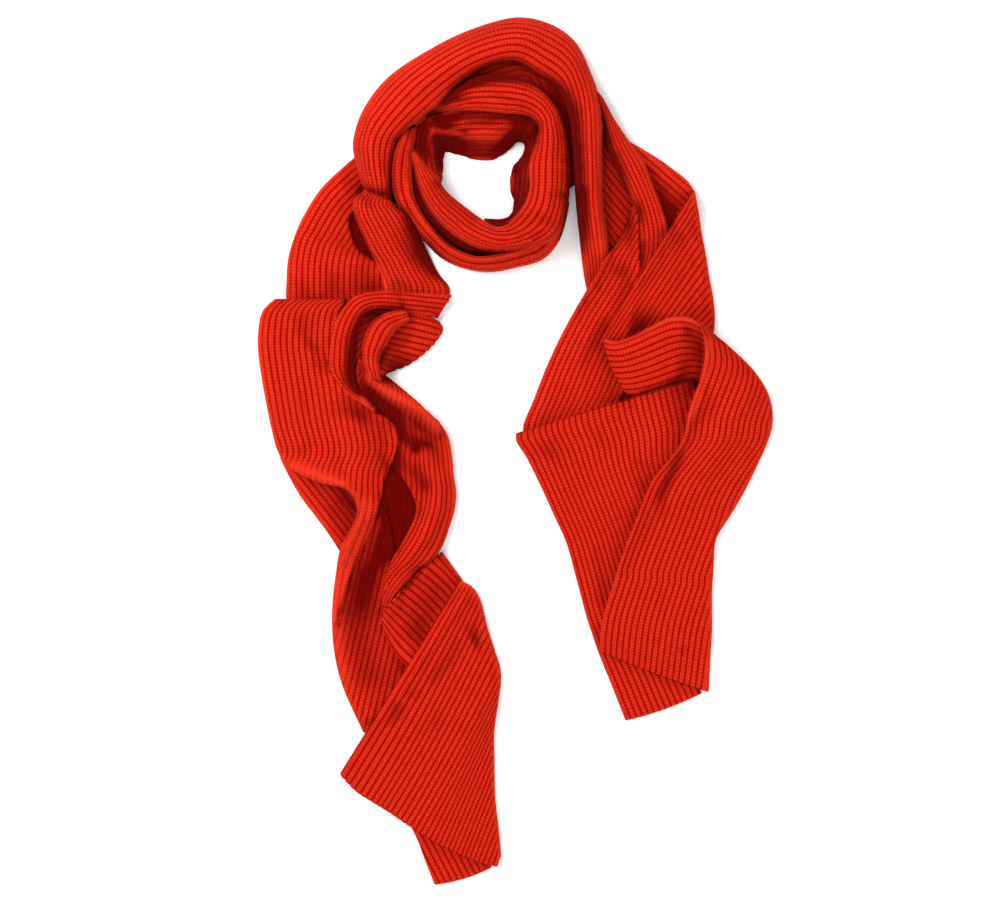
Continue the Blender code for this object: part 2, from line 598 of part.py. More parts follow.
def core_levels(layers):
    """Height and inset of each ring of a core's side: rounded layers that step in towards the top."""
    levels = []
    for layer in range(layers):
        base = layer * SOLID_EDGE
        step = EDGE_STEP * layer**STEP_GROWTH
        levels += [(base, step + EDGE_ROUND), (base + SOLID_EDGE / 2, step)]
    return levels + [(layers * SOLID_EDGE, step + EDGE_ROUND)]


def add_core(name, rim, hole, layers, heights):
    bm = bmesh.new()
    caps = {"bottom": [], "top": []}
    for outline, sign in ((rim, 1), (hole, -1)):
        if not outline:
            continue
        curve = curve_through(outline, CORE_STEP, closed=True)
        rings = [
            [bm.verts.new((*(p * MM), z * MM)) for p in inset(curve, sign * amount)]
            for z, amount in core_levels(layers)
        ]
        for low, high in zip(rings, rings[1:]):
            for k in range(len(low)):
                n = (k + 1) % len(low)
                bm.faces.new((low[k], low[n], high[n], high[k]))
        for cap, ring in (("bottom", rings[0]), ("top", rings[-1])):
            caps[cap] += [bm.edges.get((ring[k], ring[k - 1])) for k in range(len(ring))]
    for edges in caps.values():
        bmesh.ops.triangle_fill(bm, edges=edges, use_beauty=True, use_dissolve=False)
    bmesh.ops.recalc_face_normals(bm, faces=bm.faces)
    bmesh.ops.triangulate(bm, faces=bm.faces)
    mesh = bpy.data.meshes.new(name)
    bm.to_mesh(mesh)
    bm.free()
    add_object(name, mesh)
    x, y = np.meshgrid(
        np.arange(heights.shape[0]) * CELL + CELL / 2 - REACH[0],
        np.arange(heights.shape[1]) * CELL + CELL / 2 - REACH[1],
        indexing="ij",
    )
    covered = inside(inset(np.array(rim, float), -CELL), x, y)
    if hole:
        covered &= ~inside(inset(np.array(hole, float), CELL), x, y)
    heights[covered] = np.maximum(heights[covered], layers * SOLID_EDGE)


def add_stretch(name, points, faces):
    mesh = bpy.data.meshes.new(name)
    mesh.from_pydata((points * MM).tolist(), [], faces.tolist())
    add_object(name, mesh)


def add_object(name, mesh):
    obj = bpy.data.objects.new(name, mesh)
    bpy.context.scene.collection.objects.link(obj)
    material = bpy.data.materials.new(name)
    material.use_nodes = True
    shader = material.node_tree.nodes["Principled BSDF"]
    shader.inputs["Base Color"].default_value = FABRIC
    shader.inputs["Roughness"].default_value = 0.9
    mesh.materials.append(material)


for leftover in list(bpy.data.objects):
    bpy.data.objects.remove(leftover, do_unlink=True)

ground = np.zeros([int(2 * side / CELL) for side in REACH])
for name, rim, hole, layers in CORES:
    add_core(name, rim, hole, layers, ground)
for name, sections, roll_a, roll_b in STRETCHES:
    cloth = middle_surface(sections, roll_a, roll_b, CREASES.get(name, ()))
    add_stretch(name, *lay(cloth, ground))
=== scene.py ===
import json

import bpy
import numpy as np
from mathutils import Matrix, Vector
from mathutils.geometry import delaunay_2d_cdt

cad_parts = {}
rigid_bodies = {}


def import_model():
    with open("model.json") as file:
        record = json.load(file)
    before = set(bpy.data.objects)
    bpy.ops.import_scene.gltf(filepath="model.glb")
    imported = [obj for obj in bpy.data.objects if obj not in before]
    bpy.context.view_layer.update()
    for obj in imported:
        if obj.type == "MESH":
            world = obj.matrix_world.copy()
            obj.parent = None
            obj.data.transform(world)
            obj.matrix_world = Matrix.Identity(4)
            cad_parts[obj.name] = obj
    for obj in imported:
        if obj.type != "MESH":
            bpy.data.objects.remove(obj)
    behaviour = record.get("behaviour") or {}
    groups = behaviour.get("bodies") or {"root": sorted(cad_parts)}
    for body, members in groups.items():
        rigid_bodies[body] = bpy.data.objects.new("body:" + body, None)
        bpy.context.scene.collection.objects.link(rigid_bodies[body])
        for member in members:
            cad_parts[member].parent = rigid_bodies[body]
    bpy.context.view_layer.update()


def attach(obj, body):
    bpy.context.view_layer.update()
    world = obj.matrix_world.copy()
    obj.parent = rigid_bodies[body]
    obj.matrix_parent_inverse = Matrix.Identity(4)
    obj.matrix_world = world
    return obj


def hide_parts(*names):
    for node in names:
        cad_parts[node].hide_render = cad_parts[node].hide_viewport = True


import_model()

# ======================================== surface, light and camera
# The scarf lies on white paper that runs out past the view. Three soft panels stand round it, the
# strongest at the upper left, and the camera looks straight down through a long lens.

PAPER_SIZE = 30.0
PAPER_LEVEL = -0.0003
PAPER_FINISH = {"Base Color": (0.96, 0.96, 0.96, 1.0), "Roughness": 0.9, "Specular IOR Level": 0.1}
CAMERA_SPOT = (-0.0186, -0.0054, 6.667)
LENS_MM = 200.0
SENSOR_MM = 36.0
SKY_FINISH = {"Color": (1, 1, 1, 1), "Strength": 0.62}


def set_inputs(made, values):
    """Sets the named inputs of a node."""
    for socket, value in values.items():
        made.inputs[socket].default_value = value


bpy.ops.mesh.primitive_plane_add(size=PAPER_SIZE, location=(0, 0, PAPER_LEVEL))
paper = bpy.context.object
paper.name = "paper_floor"
paper_finish = bpy.data.materials.new("white_paper")
paper_finish.use_nodes = True
set_inputs(paper_finish.node_tree.nodes["Principled BSDF"], PAPER_FINISH)
paper.data.materials.append(paper_finish)


def stand_panel(name, spot, side, watts):
    """A square soft light at spot, facing the scarf."""
    lamp = bpy.data.lights.new(name, "AREA")
    lamp.shape = "SQUARE"
    lamp.size = side
    lamp.energy = watts
    panel = bpy.data.objects.new(name, lamp)
    panel.location = spot
    panel.rotation_euler = (-Vector(spot)).to_track_quat("-Z", "Y").to_euler()
    bpy.context.scene.collection.objects.link(panel)


stand_panel("key_panel", (-1.9, 1.5, 2.0), 1.5, 92.0)
stand_panel("right_panel", (2.3, 0.3, 2.0), 1.8, 30.0)
stand_panel("front_panel", (-0.4, -2.5, 2.2), 1.8, 30.0)

studio = bpy.data.worlds.new("studio")
bpy.context.scene.world = studio
studio.use_nodes = True
set_inputs(studio.node_tree.nodes["Background"], SKY_FINISH)

camera = bpy.data.objects.new("camera", bpy.data.cameras.new("camera"))
camera.data.lens = LENS_MM
camera.data.sensor_width = SENSOR_MM
camera.location = CAMERA_SPOT
bpy.context.scene.collection.objects.link(camera)
bpy.context.scene.camera = camera
bpy.context.scene.view_settings.view_transform = "Standard"

# ======================================== the rib knit
# One soft rib of brushed red wool, from which the whole scarf is knitted. Each rib is one column of
# V-shaped stitches with a broad groove beside it, painted a darker red as shade, and a nap hides the
# stitches on folds and ridges, where the red is painted lighter as a highlight. The red is also
# painted darker as shade where the cloth sinks between folds.

RIB_BODY = (0.57, 0.010, 0.002, 1.0)
RIB_BRIGHT = (0.74, 0.042, 0.015, 1.0)
# Painted colours: a lighter red as a highlight on napped folds, and a darker red as shade in the grooves
# and where the cloth sinks between folds.
NAP_HIGHLIGHT_RED = (0.72, 0.042, 0.018, 1.0)
GROOVE_SHADE_RED = (0.38, 0.0, 0.0, 1.0)
HOLLOW_SHADE_RED = (0.13, 0.0, 0.0, 1.0)
YARN_FINISH = {
    "Roughness": 0.95,
    "Specular IOR Level": 0.04,
    "Sheen Weight": 0.10,
    "Sheen Roughness": 0.5,
    "Sheen Tint": (1.0, 0.12, 0.06, 1.0),
}
SURFACE_RELIEF = {"Strength": 0.8, "Distance": 0.0014}
WANDER_GRAIN = {"Scale": 1.1, "Detail": 4.0}
FUZZ_GRAIN = {"Scale": 700.0, "Detail": 2.0}
WANDER_SHARE = 1.2        # how strongly the yarn's colour wanders to its bright red
FUZZ_SHARE = 0.35         # height of the fuzz beside that of the stitches
V_RISE = 0.6              # how far a V rises from the rib's centre line to its sides, in courses
STITCH_POWER = 0.8        # below 1 for full stitches with narrow gaps
CLEFT_WIDTH = 0.22        # half width of the cleft between the legs of the V, in half ribs
CLEFT_DEPTH = 0.45        # how much it takes from the height of the legs
GROOVE_WIDTH = 0.34       # half width of the groove, in half ribs
GROOVE_NOTCH = 0.18       # how much narrower it is beside the middle of a stitch
GROOVE_SIDE = 0.30        # width of its sloping side
GAP_SHADE = 0.62          # share of painted shade between two stitches, beside 1 in the groove
NAP_COVER = 0.8           # share of the stitches that a full nap hides
NAP_HIGHLIGHT_TINT = 0.6            # share of its painted highlight red that a full nap shows

knit_finish = bpy.data.materials.new("red_rib_knit")
knit_finish.use_nodes = True
tree = knit_finish.node_tree
shader = tree.nodes["Principled BSDF"]


def wired(made, sockets, values):
    """Links or sets each socket of a node."""
    for socket, value in zip(sockets, values):
        if hasattr(value, "links"):
            tree.links.new(value, socket)
        else:
            socket.default_value = value
    return made


def maths(operation, *values, clamp=False):
    """A sum, product or other piece of arithmetic on values or outputs."""
    made = tree.nodes.new("ShaderNodeMath")
    made.operation = operation
    made.use_clamp = clamp
    return wired(made, made.inputs, values).outputs[0]


def dye(first, second, share):
    """The first colour turning to the second as share goes from 0 to 1."""
    made = tree.nodes.new("ShaderNodeMix")
    made.data_type = "RGBA"
    made.clamp_factor = True
    sockets = (made.inputs["A"], made.inputs["B"], made.inputs["Factor"])
    return wired(made, sockets, (first, second, share)).outputs["Result"]


def kept_value(name):
    """A value kept at the points of the cloth."""
    made = tree.nodes.new("ShaderNodeAttribute")
    made.attribute_name = name
    return made.outputs["Fac"]


counted = tree.nodes.new("ShaderNodeUVMap")
counted.uv_map = "Knit"
parted = tree.nodes.new("ShaderNodeSeparateXYZ")
tree.links.new(counted.outputs["UV"], parted.inputs[0])
rib_place, course_place = parted.outputs[0], parted.outputs[1]

# Yarn is never even: a slow wander of its colour and a fine fuzz on its surface.
wander = tree.nodes.new("ShaderNodeTexNoise")
set_inputs(wander, WANDER_GRAIN)
tree.links.new(counted.outputs["UV"], wander.inputs["Vector"])
fuzz = tree.nodes.new("ShaderNodeTexNoise")
set_inputs(fuzz, FUZZ_GRAIN)

# Distance from the nearest groove, 0 in it and 1 on the rib's centre line.
from_groove = maths("MULTIPLY", maths("PINGPONG", rib_place, 0.5), 2.0)
# Each stitch is a V, so its courses rise from the rib's centre line to its sides.
stitch = maths("ADD", course_place, maths("MULTIPLY", from_groove, -V_RISE))
stitch = maths("ABSOLUTE", maths("SINE", maths("MULTIPLY", stitch, np.pi)))
stitch = maths("POWER", stitch, STITCH_POWER)
# The two legs of the V part on the centre line, and their rounded sides notch the groove.
parting = maths("DIVIDE", maths("SUBTRACT", 1.0, from_groove), CLEFT_WIDTH, clamp=True)
full_leg = maths("ADD", 1.0 - CLEFT_DEPTH, maths("MULTIPLY", parting, CLEFT_DEPTH))
leg = maths("MULTIPLY", stitch, full_leg)
groove_edge = maths("SUBTRACT", GROOVE_WIDTH, maths("MULTIPLY", stitch, GROOVE_NOTCH))
out_of_groove = maths("SUBTRACT", from_groove, groove_edge)
groove = maths("SUBTRACT", 1.0, maths("DIVIDE", out_of_groove, GROOVE_SIDE, clamp=True))
yarn = maths("MULTIPLY", leg, maths("SUBTRACT", 1.0, groove))

nap_highlight_mask = kept_value("NapHighlight")
clear = maths("SUBTRACT", 1.0, maths("MULTIPLY", nap_highlight_mask, NAP_COVER))
# Painted shade: the groove and the gaps between stitches take a darker red, less where the nap hides
# them.
gap = maths("MULTIPLY", maths("SUBTRACT", 1.0, leg), GAP_SHADE)
groove_shade = maths("MULTIPLY", maths("MAXIMUM", groove, gap), clear)

colour = dye(RIB_BODY, RIB_BRIGHT, maths("MULTIPLY", wander.outputs["Fac"], WANDER_SHARE))
# A full nap paints the red lighter, as a highlight on the fold.
colour = dye(colour, NAP_HIGHLIGHT_RED, maths("MULTIPLY", nap_highlight_mask, NAP_HIGHLIGHT_TINT))
colour = dye(colour, GROOVE_SHADE_RED, groove_shade)
# Painted shade: the red goes darker where the folds close the cloth in.
colour = dye(colour, HOLLOW_SHADE_RED, kept_value("HollowShade"))
tree.links.new(colour, shader.inputs["Base Color"])

raised = tree.nodes.new("ShaderNodeBump")
set_inputs(raised, SURFACE_RELIEF)
relief_height = maths("MULTIPLY", yarn, clear)
relief_height = maths("ADD", relief_height, maths("MULTIPLY", fuzz.outputs["Fac"], FUZZ_SHARE))
tree.links.new(relief_height, raised.inputs["Height"])
tree.links.new(raised.outputs["Normal"], shader.inputs["Normal"])
set_inputs(shader, YARN_FINISH)

# ======================================== hidden turns and layers
# The turns of cloth inside the loop and the lower layers of both tails are the same knit, pressed
# flat by the cloth over them. They show in the gaps between folds and as rounded layers at a rim.

MM = 0.001
CLOTH = 3.0               # thickness of the knit
LAYER = 4.0               # height of one hidden layer
LAYER_ROUND = 1.3         # how far a layer's corners lie inside its edge
LAYER_STEP = 1.6          # how far the second layer lies inside the first
STEP_GROWTH = 1.3         # power with which that grows towards the top layer
RIB = 7.2                 # pitch of the ribs
COURSE = 3.9              # height of one row of stitches
RIB_RELIEF = 1.2          # depth of the groove between two ribs
RIB_ROUND = 2.2           # power that rounds a rib, higher for steeper sides
LEG_PARTING = 0.14        # depth of the dip along a rib's centre line, as a share of its relief
PARTING_REACH = 0.2       # half width of that dip, in half ribs
CORE_STEP = 4.0           # mesh step round a core's rim
CORE_ACROSS = 1.8         # mesh step across the ribs on top of a core
CORE_ALONG = 4.0          # mesh step along them
ON_TOP = 0.1              # points this close to a core's top lie on it
RIM_FREE = 0.5            # the ribs on top start this far in from its rim
SAME_POINT = 1e-5         # points closer than this are one
LEAST_AREA = 0.3          # least share of a piece's flat size that its cloth covers
CELL = 1.5                # grid on which heights are noted while the cloth is laid
REACH = (330.0, 540.0)    # half size of that grid
heights = np.zeros([int(2 * side / CELL) for side in REACH])

# Rim of each stack of hidden layers, in order round it: x, y
RING_CORE_OUTER = (
    (-166, 305), (-178, 340), (-180, 370), (-165, 410), (-135, 446), (-95, 470), (-50, 492), (0, 506),
    (38, 500), (64, 480), (82, 448), (92, 410), (94, 370), (92, 330), (70, 318), (54, 300), (50, 270),
    (36, 246), (5, 233), (-30, 226), (-66, 232), (-92, 248), (-112, 270), (-134, 294),
)
RING_CORE_HOLE = (
    (-100, 335), (-98, 365), (-88, 378), (-60, 380), (-30, 378), (-4, 385), (18, 380), (22, 355),
    (12, 335), (10, 312), (8, 290), (-8, 268), (-30, 264), (-48, 276), (-66, 290), (-88, 312),
)
LEFT_CORE_RIM = (
    (-196, 318), (-225, 300), (-252, 268), (-264, 225), (-264, 190), (-290, 168), (-297, 130), (-292, 80),
    (-282, 30), (-268, -15), (-245, -55), (-215, -100), (-205, -140), (-208, -190), (-206, -240),
    (-192, -290), (-172, -320), (-150, -300), (-110, -300), (-60, -330), (-36, -300), (-32, -262),
    (-50, -200), (-66, -170), (-92, -128), (-86, -80), (-84, -40), (-90, 0), (-118, 40), (-160, 66),
    (-172, 95), (-150, 112), (-118, 124), (-104, 148), (-100, 176), (-98, 200), (-124, 236),
    (-146, 266), (-178, 292),
)
RIGHT_CORE_RIM = (
    (106, 330), (110, 392), (134, 358), (176, 334), (204, 310), (212, 270), (222, 210), (226, 150),
    (270, 96), (294, 60), (294, 20), (270, -30), (240, -80), (224, -110), (222, -180), (218, -236),
    (160, -240), (112, -215), (92, -180), (74, -125), (50, -70), (24, -15), (18, 22), (44, 85),
    (66, 135), (92, 180), (90, 240), (94, 296),
)


def curve_through(rows, step, closed=False):
    """Smooth curve through table rows, with at most step between the points it returns."""
    table = np.array(rows, float)
    count = len(table)
    found = []
    for i in range(count if closed else count - 1):
        if closed:
            before, here, there, after = (table[(i + k) % count] for k in (-1, 0, 1, 2))
        else:
            before, here, there, after = table[np.clip([i - 1, i, i + 1, i + 2], 0, count - 1)]
        gap = np.hypot(*(there - here)[:2])
        if len(here) > 2:
            gap = max(gap, np.hypot(*(there - here)[3:5]))
        parts = max(1, int(np.ceil(gap / step)))
        for k in range(parts):
            f = k / parts
            found.append(
                here
                + 0.5 * f * (there - before)
                + f * f * (before - 2.5 * here + 2 * there - 0.5 * after)
                + f * f * f * 0.5 * (3 * here - before - 3 * there + after)
            )
    if not closed:
        found.append(table[-1])
    return np.array(found)


def inside(rim, x, y):
    """Whether each place lies inside the closed rim."""
    found = np.zeros(x.shape, bool)
    for (x0, y0), (x1, y1) in zip(rim, np.roll(rim, -1, axis=0)):
        if y0 != y1:
            found ^= ((y0 > y) != (y1 > y)) & (x < x0 + (y - y0) * (x1 - x0) / (y1 - y0))
    return found


def shoelace(rim):
    """Area inside the closed rim, negative where it runs clockwise."""
    x, y = np.transpose(rim)
    return 0.5 * (x * np.roll(y, -1) - y * np.roll(x, -1)).sum()


def inset(rim, amount):
    """The closed rim moved inwards by an amount."""
    along = np.roll(rim, -1, axis=0) - np.roll(rim, 1, axis=0)
    inward = np.stack([-along[:, 1], along[:, 0]], axis=1)
    inward /= np.linalg.norm(inward, axis=1, keepdims=True)
    return rim + inward * amount * np.sign(shoelace(rim))


def rib_profile(ribs):
    """Relief of the knit, 0 in a groove and 1 on a rib, at a count of ribs from the edge."""
    off_centre = np.abs(ribs - np.floor(ribs) - 0.5) * 2
    dip = LEG_PARTING * np.exp(-((off_centre / PARTING_REACH) ** 2))
    return 1 - off_centre**RIB_ROUND - dip


def away_from(x, y, points, closed=False):
    """Distance to a line through points, and how far along it the nearest place is."""
    best = np.full(np.shape(x), np.inf)
    place = np.zeros(np.shape(x))
    passed = 0.0
    ends = list(points) + ([points[0]] if closed else [])
    for start, end in zip(ends, ends[1:]):
        run = np.array(end, float) - start
        length = max(np.hypot(*run), 1e-6)
        share = np.clip(((x - start[0]) * run[0] + (y - start[1]) * run[1]) / length**2, 0, 1)
        away = np.hypot(x - start[0] - share * run[0], y - start[1] - share * run[1])
        place = np.where(away < best, passed + share * length, place)
        best = np.minimum(best, away)
        passed += length
    return best, place


def declare_knit(name, points, faces, counts, nap_highlight_kept):
    """Makes a closed mesh of knit, in millimetres, hangs it on the root body and hides the CAD part of
    the same name.
    """
    mesh = bpy.data.meshes.new(name)
    mesh.from_pydata((points * MM).tolist(), [], faces)
    mesh.shade_smooth()
    corners = np.empty(len(mesh.loops), np.int32)
    mesh.loops.foreach_get("vertex_index", corners)
    layer = mesh.uv_layers.new(name="Knit")
    layer.uv.foreach_set("vector", counts[corners].astype(np.float32).ravel())
    nap_highlight = mesh.attributes.new("NapHighlight", "FLOAT", "POINT")
    nap_highlight.data.foreach_set("value", nap_highlight_kept.astype(np.float32))
    mesh.materials.append(knit_finish)
    piece = bpy.data.objects.new(name + "_knit", mesh)
    bpy.context.scene.collection.objects.link(piece)
    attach(piece, "root")
    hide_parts(name)


def layered_core(name, outlines, layers):
    """A stack of pressed layers: a flat underside, rounded layers at its rim and a ribbed top."""
    levels = []
    for layer in range(layers):
        step = LAYER_STEP * layer**STEP_GROWTH
        base = layer * LAYER
        levels += [(base, step + LAYER_ROUND), (base + LAYER / 2, step)]
    top_level, top_inset = layers * LAYER, step + LAYER_ROUND
    levels.append((top_level, top_inset))
    points, faces, ends = [], [], []
    for outline, sign in zip(outlines, (1, -1)):
        count, first = len(outline), len(points)
        for z, amount in levels:
            points += [(x, y, z) for x, y in inset(outline, sign * amount)]
        k = np.arange(count)
        n = (k + 1) % count
        for ring in range(len(levels) - 1):
            low, high = first + ring * count, first + (ring + 1) * count
            faces += np.stack([low + k, low + n, high + n, high + k], 1).tolist()
        ends.append((first, first + (len(levels) - 1) * count, count))
    rim, *holes = [np.array(points[top : top + count])[:, :2] for _low, top, count in ends]
    lowest, highest = rim.min(axis=0), rim.max(axis=0)
    x, y = np.meshgrid(
        np.arange(lowest[0], highest[0], CORE_ACROSS),
        np.arange(lowest[1], highest[1], CORE_ALONG),
        indexing="ij",
    )
    x, y = x.ravel(), y.ravel()
    kept = inside(rim, x, y) & (away_from(x, y, rim, closed=True)[0] > CORE_ACROSS)
    for hole in holes:
        kept &= ~inside(hole, x, y) & (away_from(x, y, hole, closed=True)[0] > CORE_ACROSS)
    on_top = list(zip(x[kept].tolist(), y[kept].tolist()))
    for is_top in (True, False):
        owners, loops = [], []
        for low, top, count in ends:
            passed = len(owners)
            owners += [(top if is_top else low) + k for k in range(count)]
            loops += [(passed + k, passed + (k + 1) % count) for k in range(count)]
        places = [points[k][:2] for k in owners] + (on_top if is_top else [])
        made = delaunay_2d_cdt([Vector(place) for place in places], loops, [], 2, SAME_POINT)
        renamed = []
        for place, sources in zip(made[0], made[3]):
            old = [source for source in sources if source < len(owners)]
            if old:
                renamed.append(owners[old[0]])
            else:
                renamed.append(len(points))
                points.append((place[0], place[1], top_level if is_top else 0))
        for face in made[2]:
            centre = np.mean([made[0][k] for k in face], axis=0)
            if any(inside(hole, centre[:1], centre[1:])[0] for hole in holes):
                continue
            face = [renamed[k] for k in face]
            faces.append(face if is_top else face[::-1])
    points = np.array(points)
    away, along = away_from(points[:, 0], points[:, 1], outlines[0], closed=True)
    counts = np.stack([away / RIB, along / COURSE], 1)
    ribbed = (points[:, 2] > top_level - ON_TOP) & (away > top_inset + RIM_FREE)
    points[:, 2] -= np.where(ribbed, RIB_RELIEF * (1 - rib_profile(counts[:, 0])), 0)
    size = (highest - lowest + 2 * top_inset) * MM
    area = abs(shoelace(outlines[0])) - sum(abs(shoelace(hole)) for hole in outlines[1:])
    area = min(max(area * MM * MM, LEAST_AREA * size[0] * size[1]), size[0] * size[1])
    no_nap_highlight = np.zeros(len(points))
    declare_knit(name, points, faces, counts, no_nap_highlight)


def note_core(outlines, layers):
    """The top of a core, noted so that the stretches over it rest on it."""
    x, y = np.meshgrid(
        np.arange(heights.shape[0]) * CELL + CELL / 2 - REACH[0],
        np.arange(heights.shape[1]) * CELL + CELL / 2 - REACH[1],
        indexing="ij",
    )
    covered = inside(outlines[0], x, y)
    for hole in outlines[1:]:
        covered &= ~inside(hole, x, y)
    heights[covered] = layers * LAYER


for name, rims, layers in (
    ("loop_core", (RING_CORE_OUTER, RING_CORE_HOLE), 5),
    ("left_core", (LEFT_CORE_RIM,), 2),
    ("right_core", (RIGHT_CORE_RIM,), 2),
):
    outlines = [curve_through(rim, CORE_STEP, closed=True) for rim in rims]
    layered_core(name, outlines, layers)
    note_core(outlines, layers)

# ======================================== tail outer
# Far strip of the right tail, which slants away behind the others. It is the knit's own edge strip,
# lying on the hidden layers below.

FOLD = 4.5                # radius of an edge where the cloth folds back
SELVEDGE = 1.2            # small curl at a free edge
REST = 0.9                # an underside lower than this lies flat
CLEAR = 0.45              # air between one layer and the next
LAY_ROUNDS = 6            # times that a stretch is raised, until it clears the heap
SHORT_OF_AIR = 0.3        # share of the air that may be missing when it counts as clear
SOFTEN_REACHES = (8, 8, 4, 4, 4, 2, 2, 2, 2, 1, 1, 1, 1)    # in cells of the grid of heights
PEAK = 0.6                # how far one spot of cloth may stand over what lies round it
PEAK_REACHES = (6, 3, 1)  # how far off that lies, in points of the mesh
ROLL_SHARE = 0.35         # most of the width that the roll at one edge takes up
ROLL_STEPS = 6            # mesh steps round that roll
UNDER_RELIEF = 0.6        # relief of the underside, as a share of the upper side's
TOP_LEVEL = 0.3           # the upper side is nowhere lower than this
RIM_LEVEL = 0.2           # and the rim between the two sides nowhere lower than this
RIM_ROUND = 0.35          # how far the rim stands out, in thicknesses of the cloth
ALONG_STEP = 4.4          # mesh step along the ribs
PER_RIB = 7               # mesh columns in a rib
SLANT_STEP = 1.7          # mesh step where ribs cross the mesh aslant, in those columns
NAP_REACH = 1.3           # how far in from a fold's edge its nap and painted highlight reach, in radii of the fold
NAP_RELIEF = 0.85         # height of a full nap, 0 in a groove and 1 on a rib
RIM_NAP_HIGHLIGHT = 0.5             # least nap, with its painted highlight, along the rim


def crease_height(x, y, creases):
    """Height of the soft ridges, or depth of the troughs, along lines laid on the cloth."""
    total = np.zeros_like(x)
    for points, half_width, height in creases:
        away = np.minimum(away_from(x, y, points)[0] / half_width, 1)
        total += height * 0.5 * (1 + np.cos(np.pi * away))
    return total


def drape(rows, roll_a, roll_b, creases, column_step):
    """Grid of points midway through the cloth, from its edge a to its edge b on each row."""
    a, b = rows[:, 0:3], rows[:, 3:6]
    width = np.hypot(*(b - a)[:, :2].T)[:, None]
    across = (b - a) / width * (1, 1, 0)
    a = a + (across * CLOTH / 2 if roll_a > CLOTH / 2 else (0, 0, CLOTH / 2 - roll_a))
    b = b - (across * CLOTH / 2 if roll_b > CLOTH / 2 else (0, 0, roll_b - CLOTH / 2))
    width = np.hypot(*(b - a)[:, :2].T)[:, None]
    roll_a = np.minimum(roll_a, ROLL_SHARE * width)
    roll_b = np.minimum(roll_b, ROLL_SHARE * width)
    inner = max(2, int(np.ceil(width.max() / column_step)))
    turn = 1 - np.cos(np.linspace(0, np.pi / 2, ROLL_STEPS + 1)[:-1])
    between = np.linspace(0, 1, inner + 1)
    flat_part = roll_a + between * (width - roll_a - roll_b)
    from_a = np.concatenate([roll_a * turn, flat_part, width - roll_b * turn[::-1]], axis=1)
    share = from_a / width
    turn_a = np.sqrt(1 - (1 - np.clip(from_a / roll_a, 0, 1)) ** 2)
    turn_b = np.sqrt(1 - (1 - np.clip((width - from_a) / roll_b, 0, 1)) ** 2)
    bulge = 4 * share * (1 - share)
    left = np.stack([-(b - a)[:, 1], (b - a)[:, 0]], axis=1) / width
    x = a[:, :1] + share * (b - a)[:, :1] + bulge * rows[:, 6:7] * left[:, :1]
    y = a[:, 1:2] + share * (b - a)[:, 1:2] + bulge * rows[:, 6:7] * left[:, 1:2]
    z = (1 - share) * (a[:, 2:] + roll_a * turn_a) + share * (b[:, 2:] + roll_b * turn_b)
    z = z + bulge * rows[:, 7:8] + crease_height(x, y, creases) * np.minimum(turn_a, turn_b)
    return np.stack([x, y, z], axis=2)


def cells_of(x, y):
    """Column and row, on the grid of heights, of the cell that each place lies in."""
    return (
        np.clip(((x + REACH[0]) / CELL).astype(int), 0, heights.shape[0] - 1),
        np.clip(((y + REACH[1]) / CELL).astype(int), 0, heights.shape[1] - 1),
    )


def filled_in(skin):
    """Points of a skin with the long sides of its mesh split, so that none skips a cell."""
    shares = (0.0, 0.33, 0.67)
    rows = np.concatenate([skin[:-1] * (1 - f) + skin[1:] * f for f in shares] + [skin[-1:]])
    wide = [rows[:, :-1] * (1 - f) + rows[:, 1:] * f for f in shares]
    return np.concatenate([part.reshape(-1, 3) for part in wide] + [rows[:, -1]])


def skins(grid, relief):
    """Upper and lower face of the cloth."""
    normal = np.cross(np.gradient(grid, axis=0), np.gradient(grid, axis=1))
    normal /= np.maximum(np.linalg.norm(normal, axis=2, keepdims=True), 1e-9)
    normal *= np.where(normal[:, :, 2:] < 0, -1, 1)
    upper = grid + normal * (CLOTH / 2 - RIB_RELIEF * (1 - relief[..., None]))
    lower = grid - normal * (CLOTH / 2 - RIB_RELIEF * relief[..., None] * UNDER_RELIEF)
    lower[..., 2] = np.where(lower[..., 2] < REST, 0, lower[..., 2])
    upper[..., 2] = np.maximum(upper[..., 2], TOP_LEVEL)
    return upper, lower


def softened(lift):
    """The lift spread over its neighbours like a cloth bridging a step, nowhere lower than it was."""
    for reach in SOFTEN_REACHES:
        near = sum(np.roll(lift, shift, axis) for axis in (0, 1) for shift in (-reach, reach))
        lift = np.maximum(lift, (lift + near / 4) / 2)
    return lift


def without_peaks(lift):
    """The lift with its narrow peaks cut down to what lies round them."""
    rows, columns = lift.shape
    for reach in PEAK_REACHES:
        padded = np.pad(lift, reach, mode="edge")
        starts = (0, reach, 2 * reach)
        near = [padded[i : i + rows, j : j + columns] for i in starts for j in starts]
        lift = np.minimum(lift, np.median(near, axis=0) + PEAK)
    return lift


def between_cells(values, x, y):
    """Values noted on the grid of heights, blended between cell centres."""
    i = (x + REACH[0]) / CELL - 0.5
    j = (y + REACH[1]) / CELL - 0.5
    i0 = np.clip(np.floor(i).astype(int), 0, values.shape[0] - 2)
    j0 = np.clip(np.floor(j).astype(int), 0, values.shape[1] - 2)
    fi, fj = i - i0, j - j0
    low = values[i0, j0] * (1 - fj) + values[i0, j0 + 1] * fj
    high = values[i0 + 1, j0] * (1 - fj) + values[i0 + 1, j0 + 1] * fj
    return low * (1 - fi) + high * fi


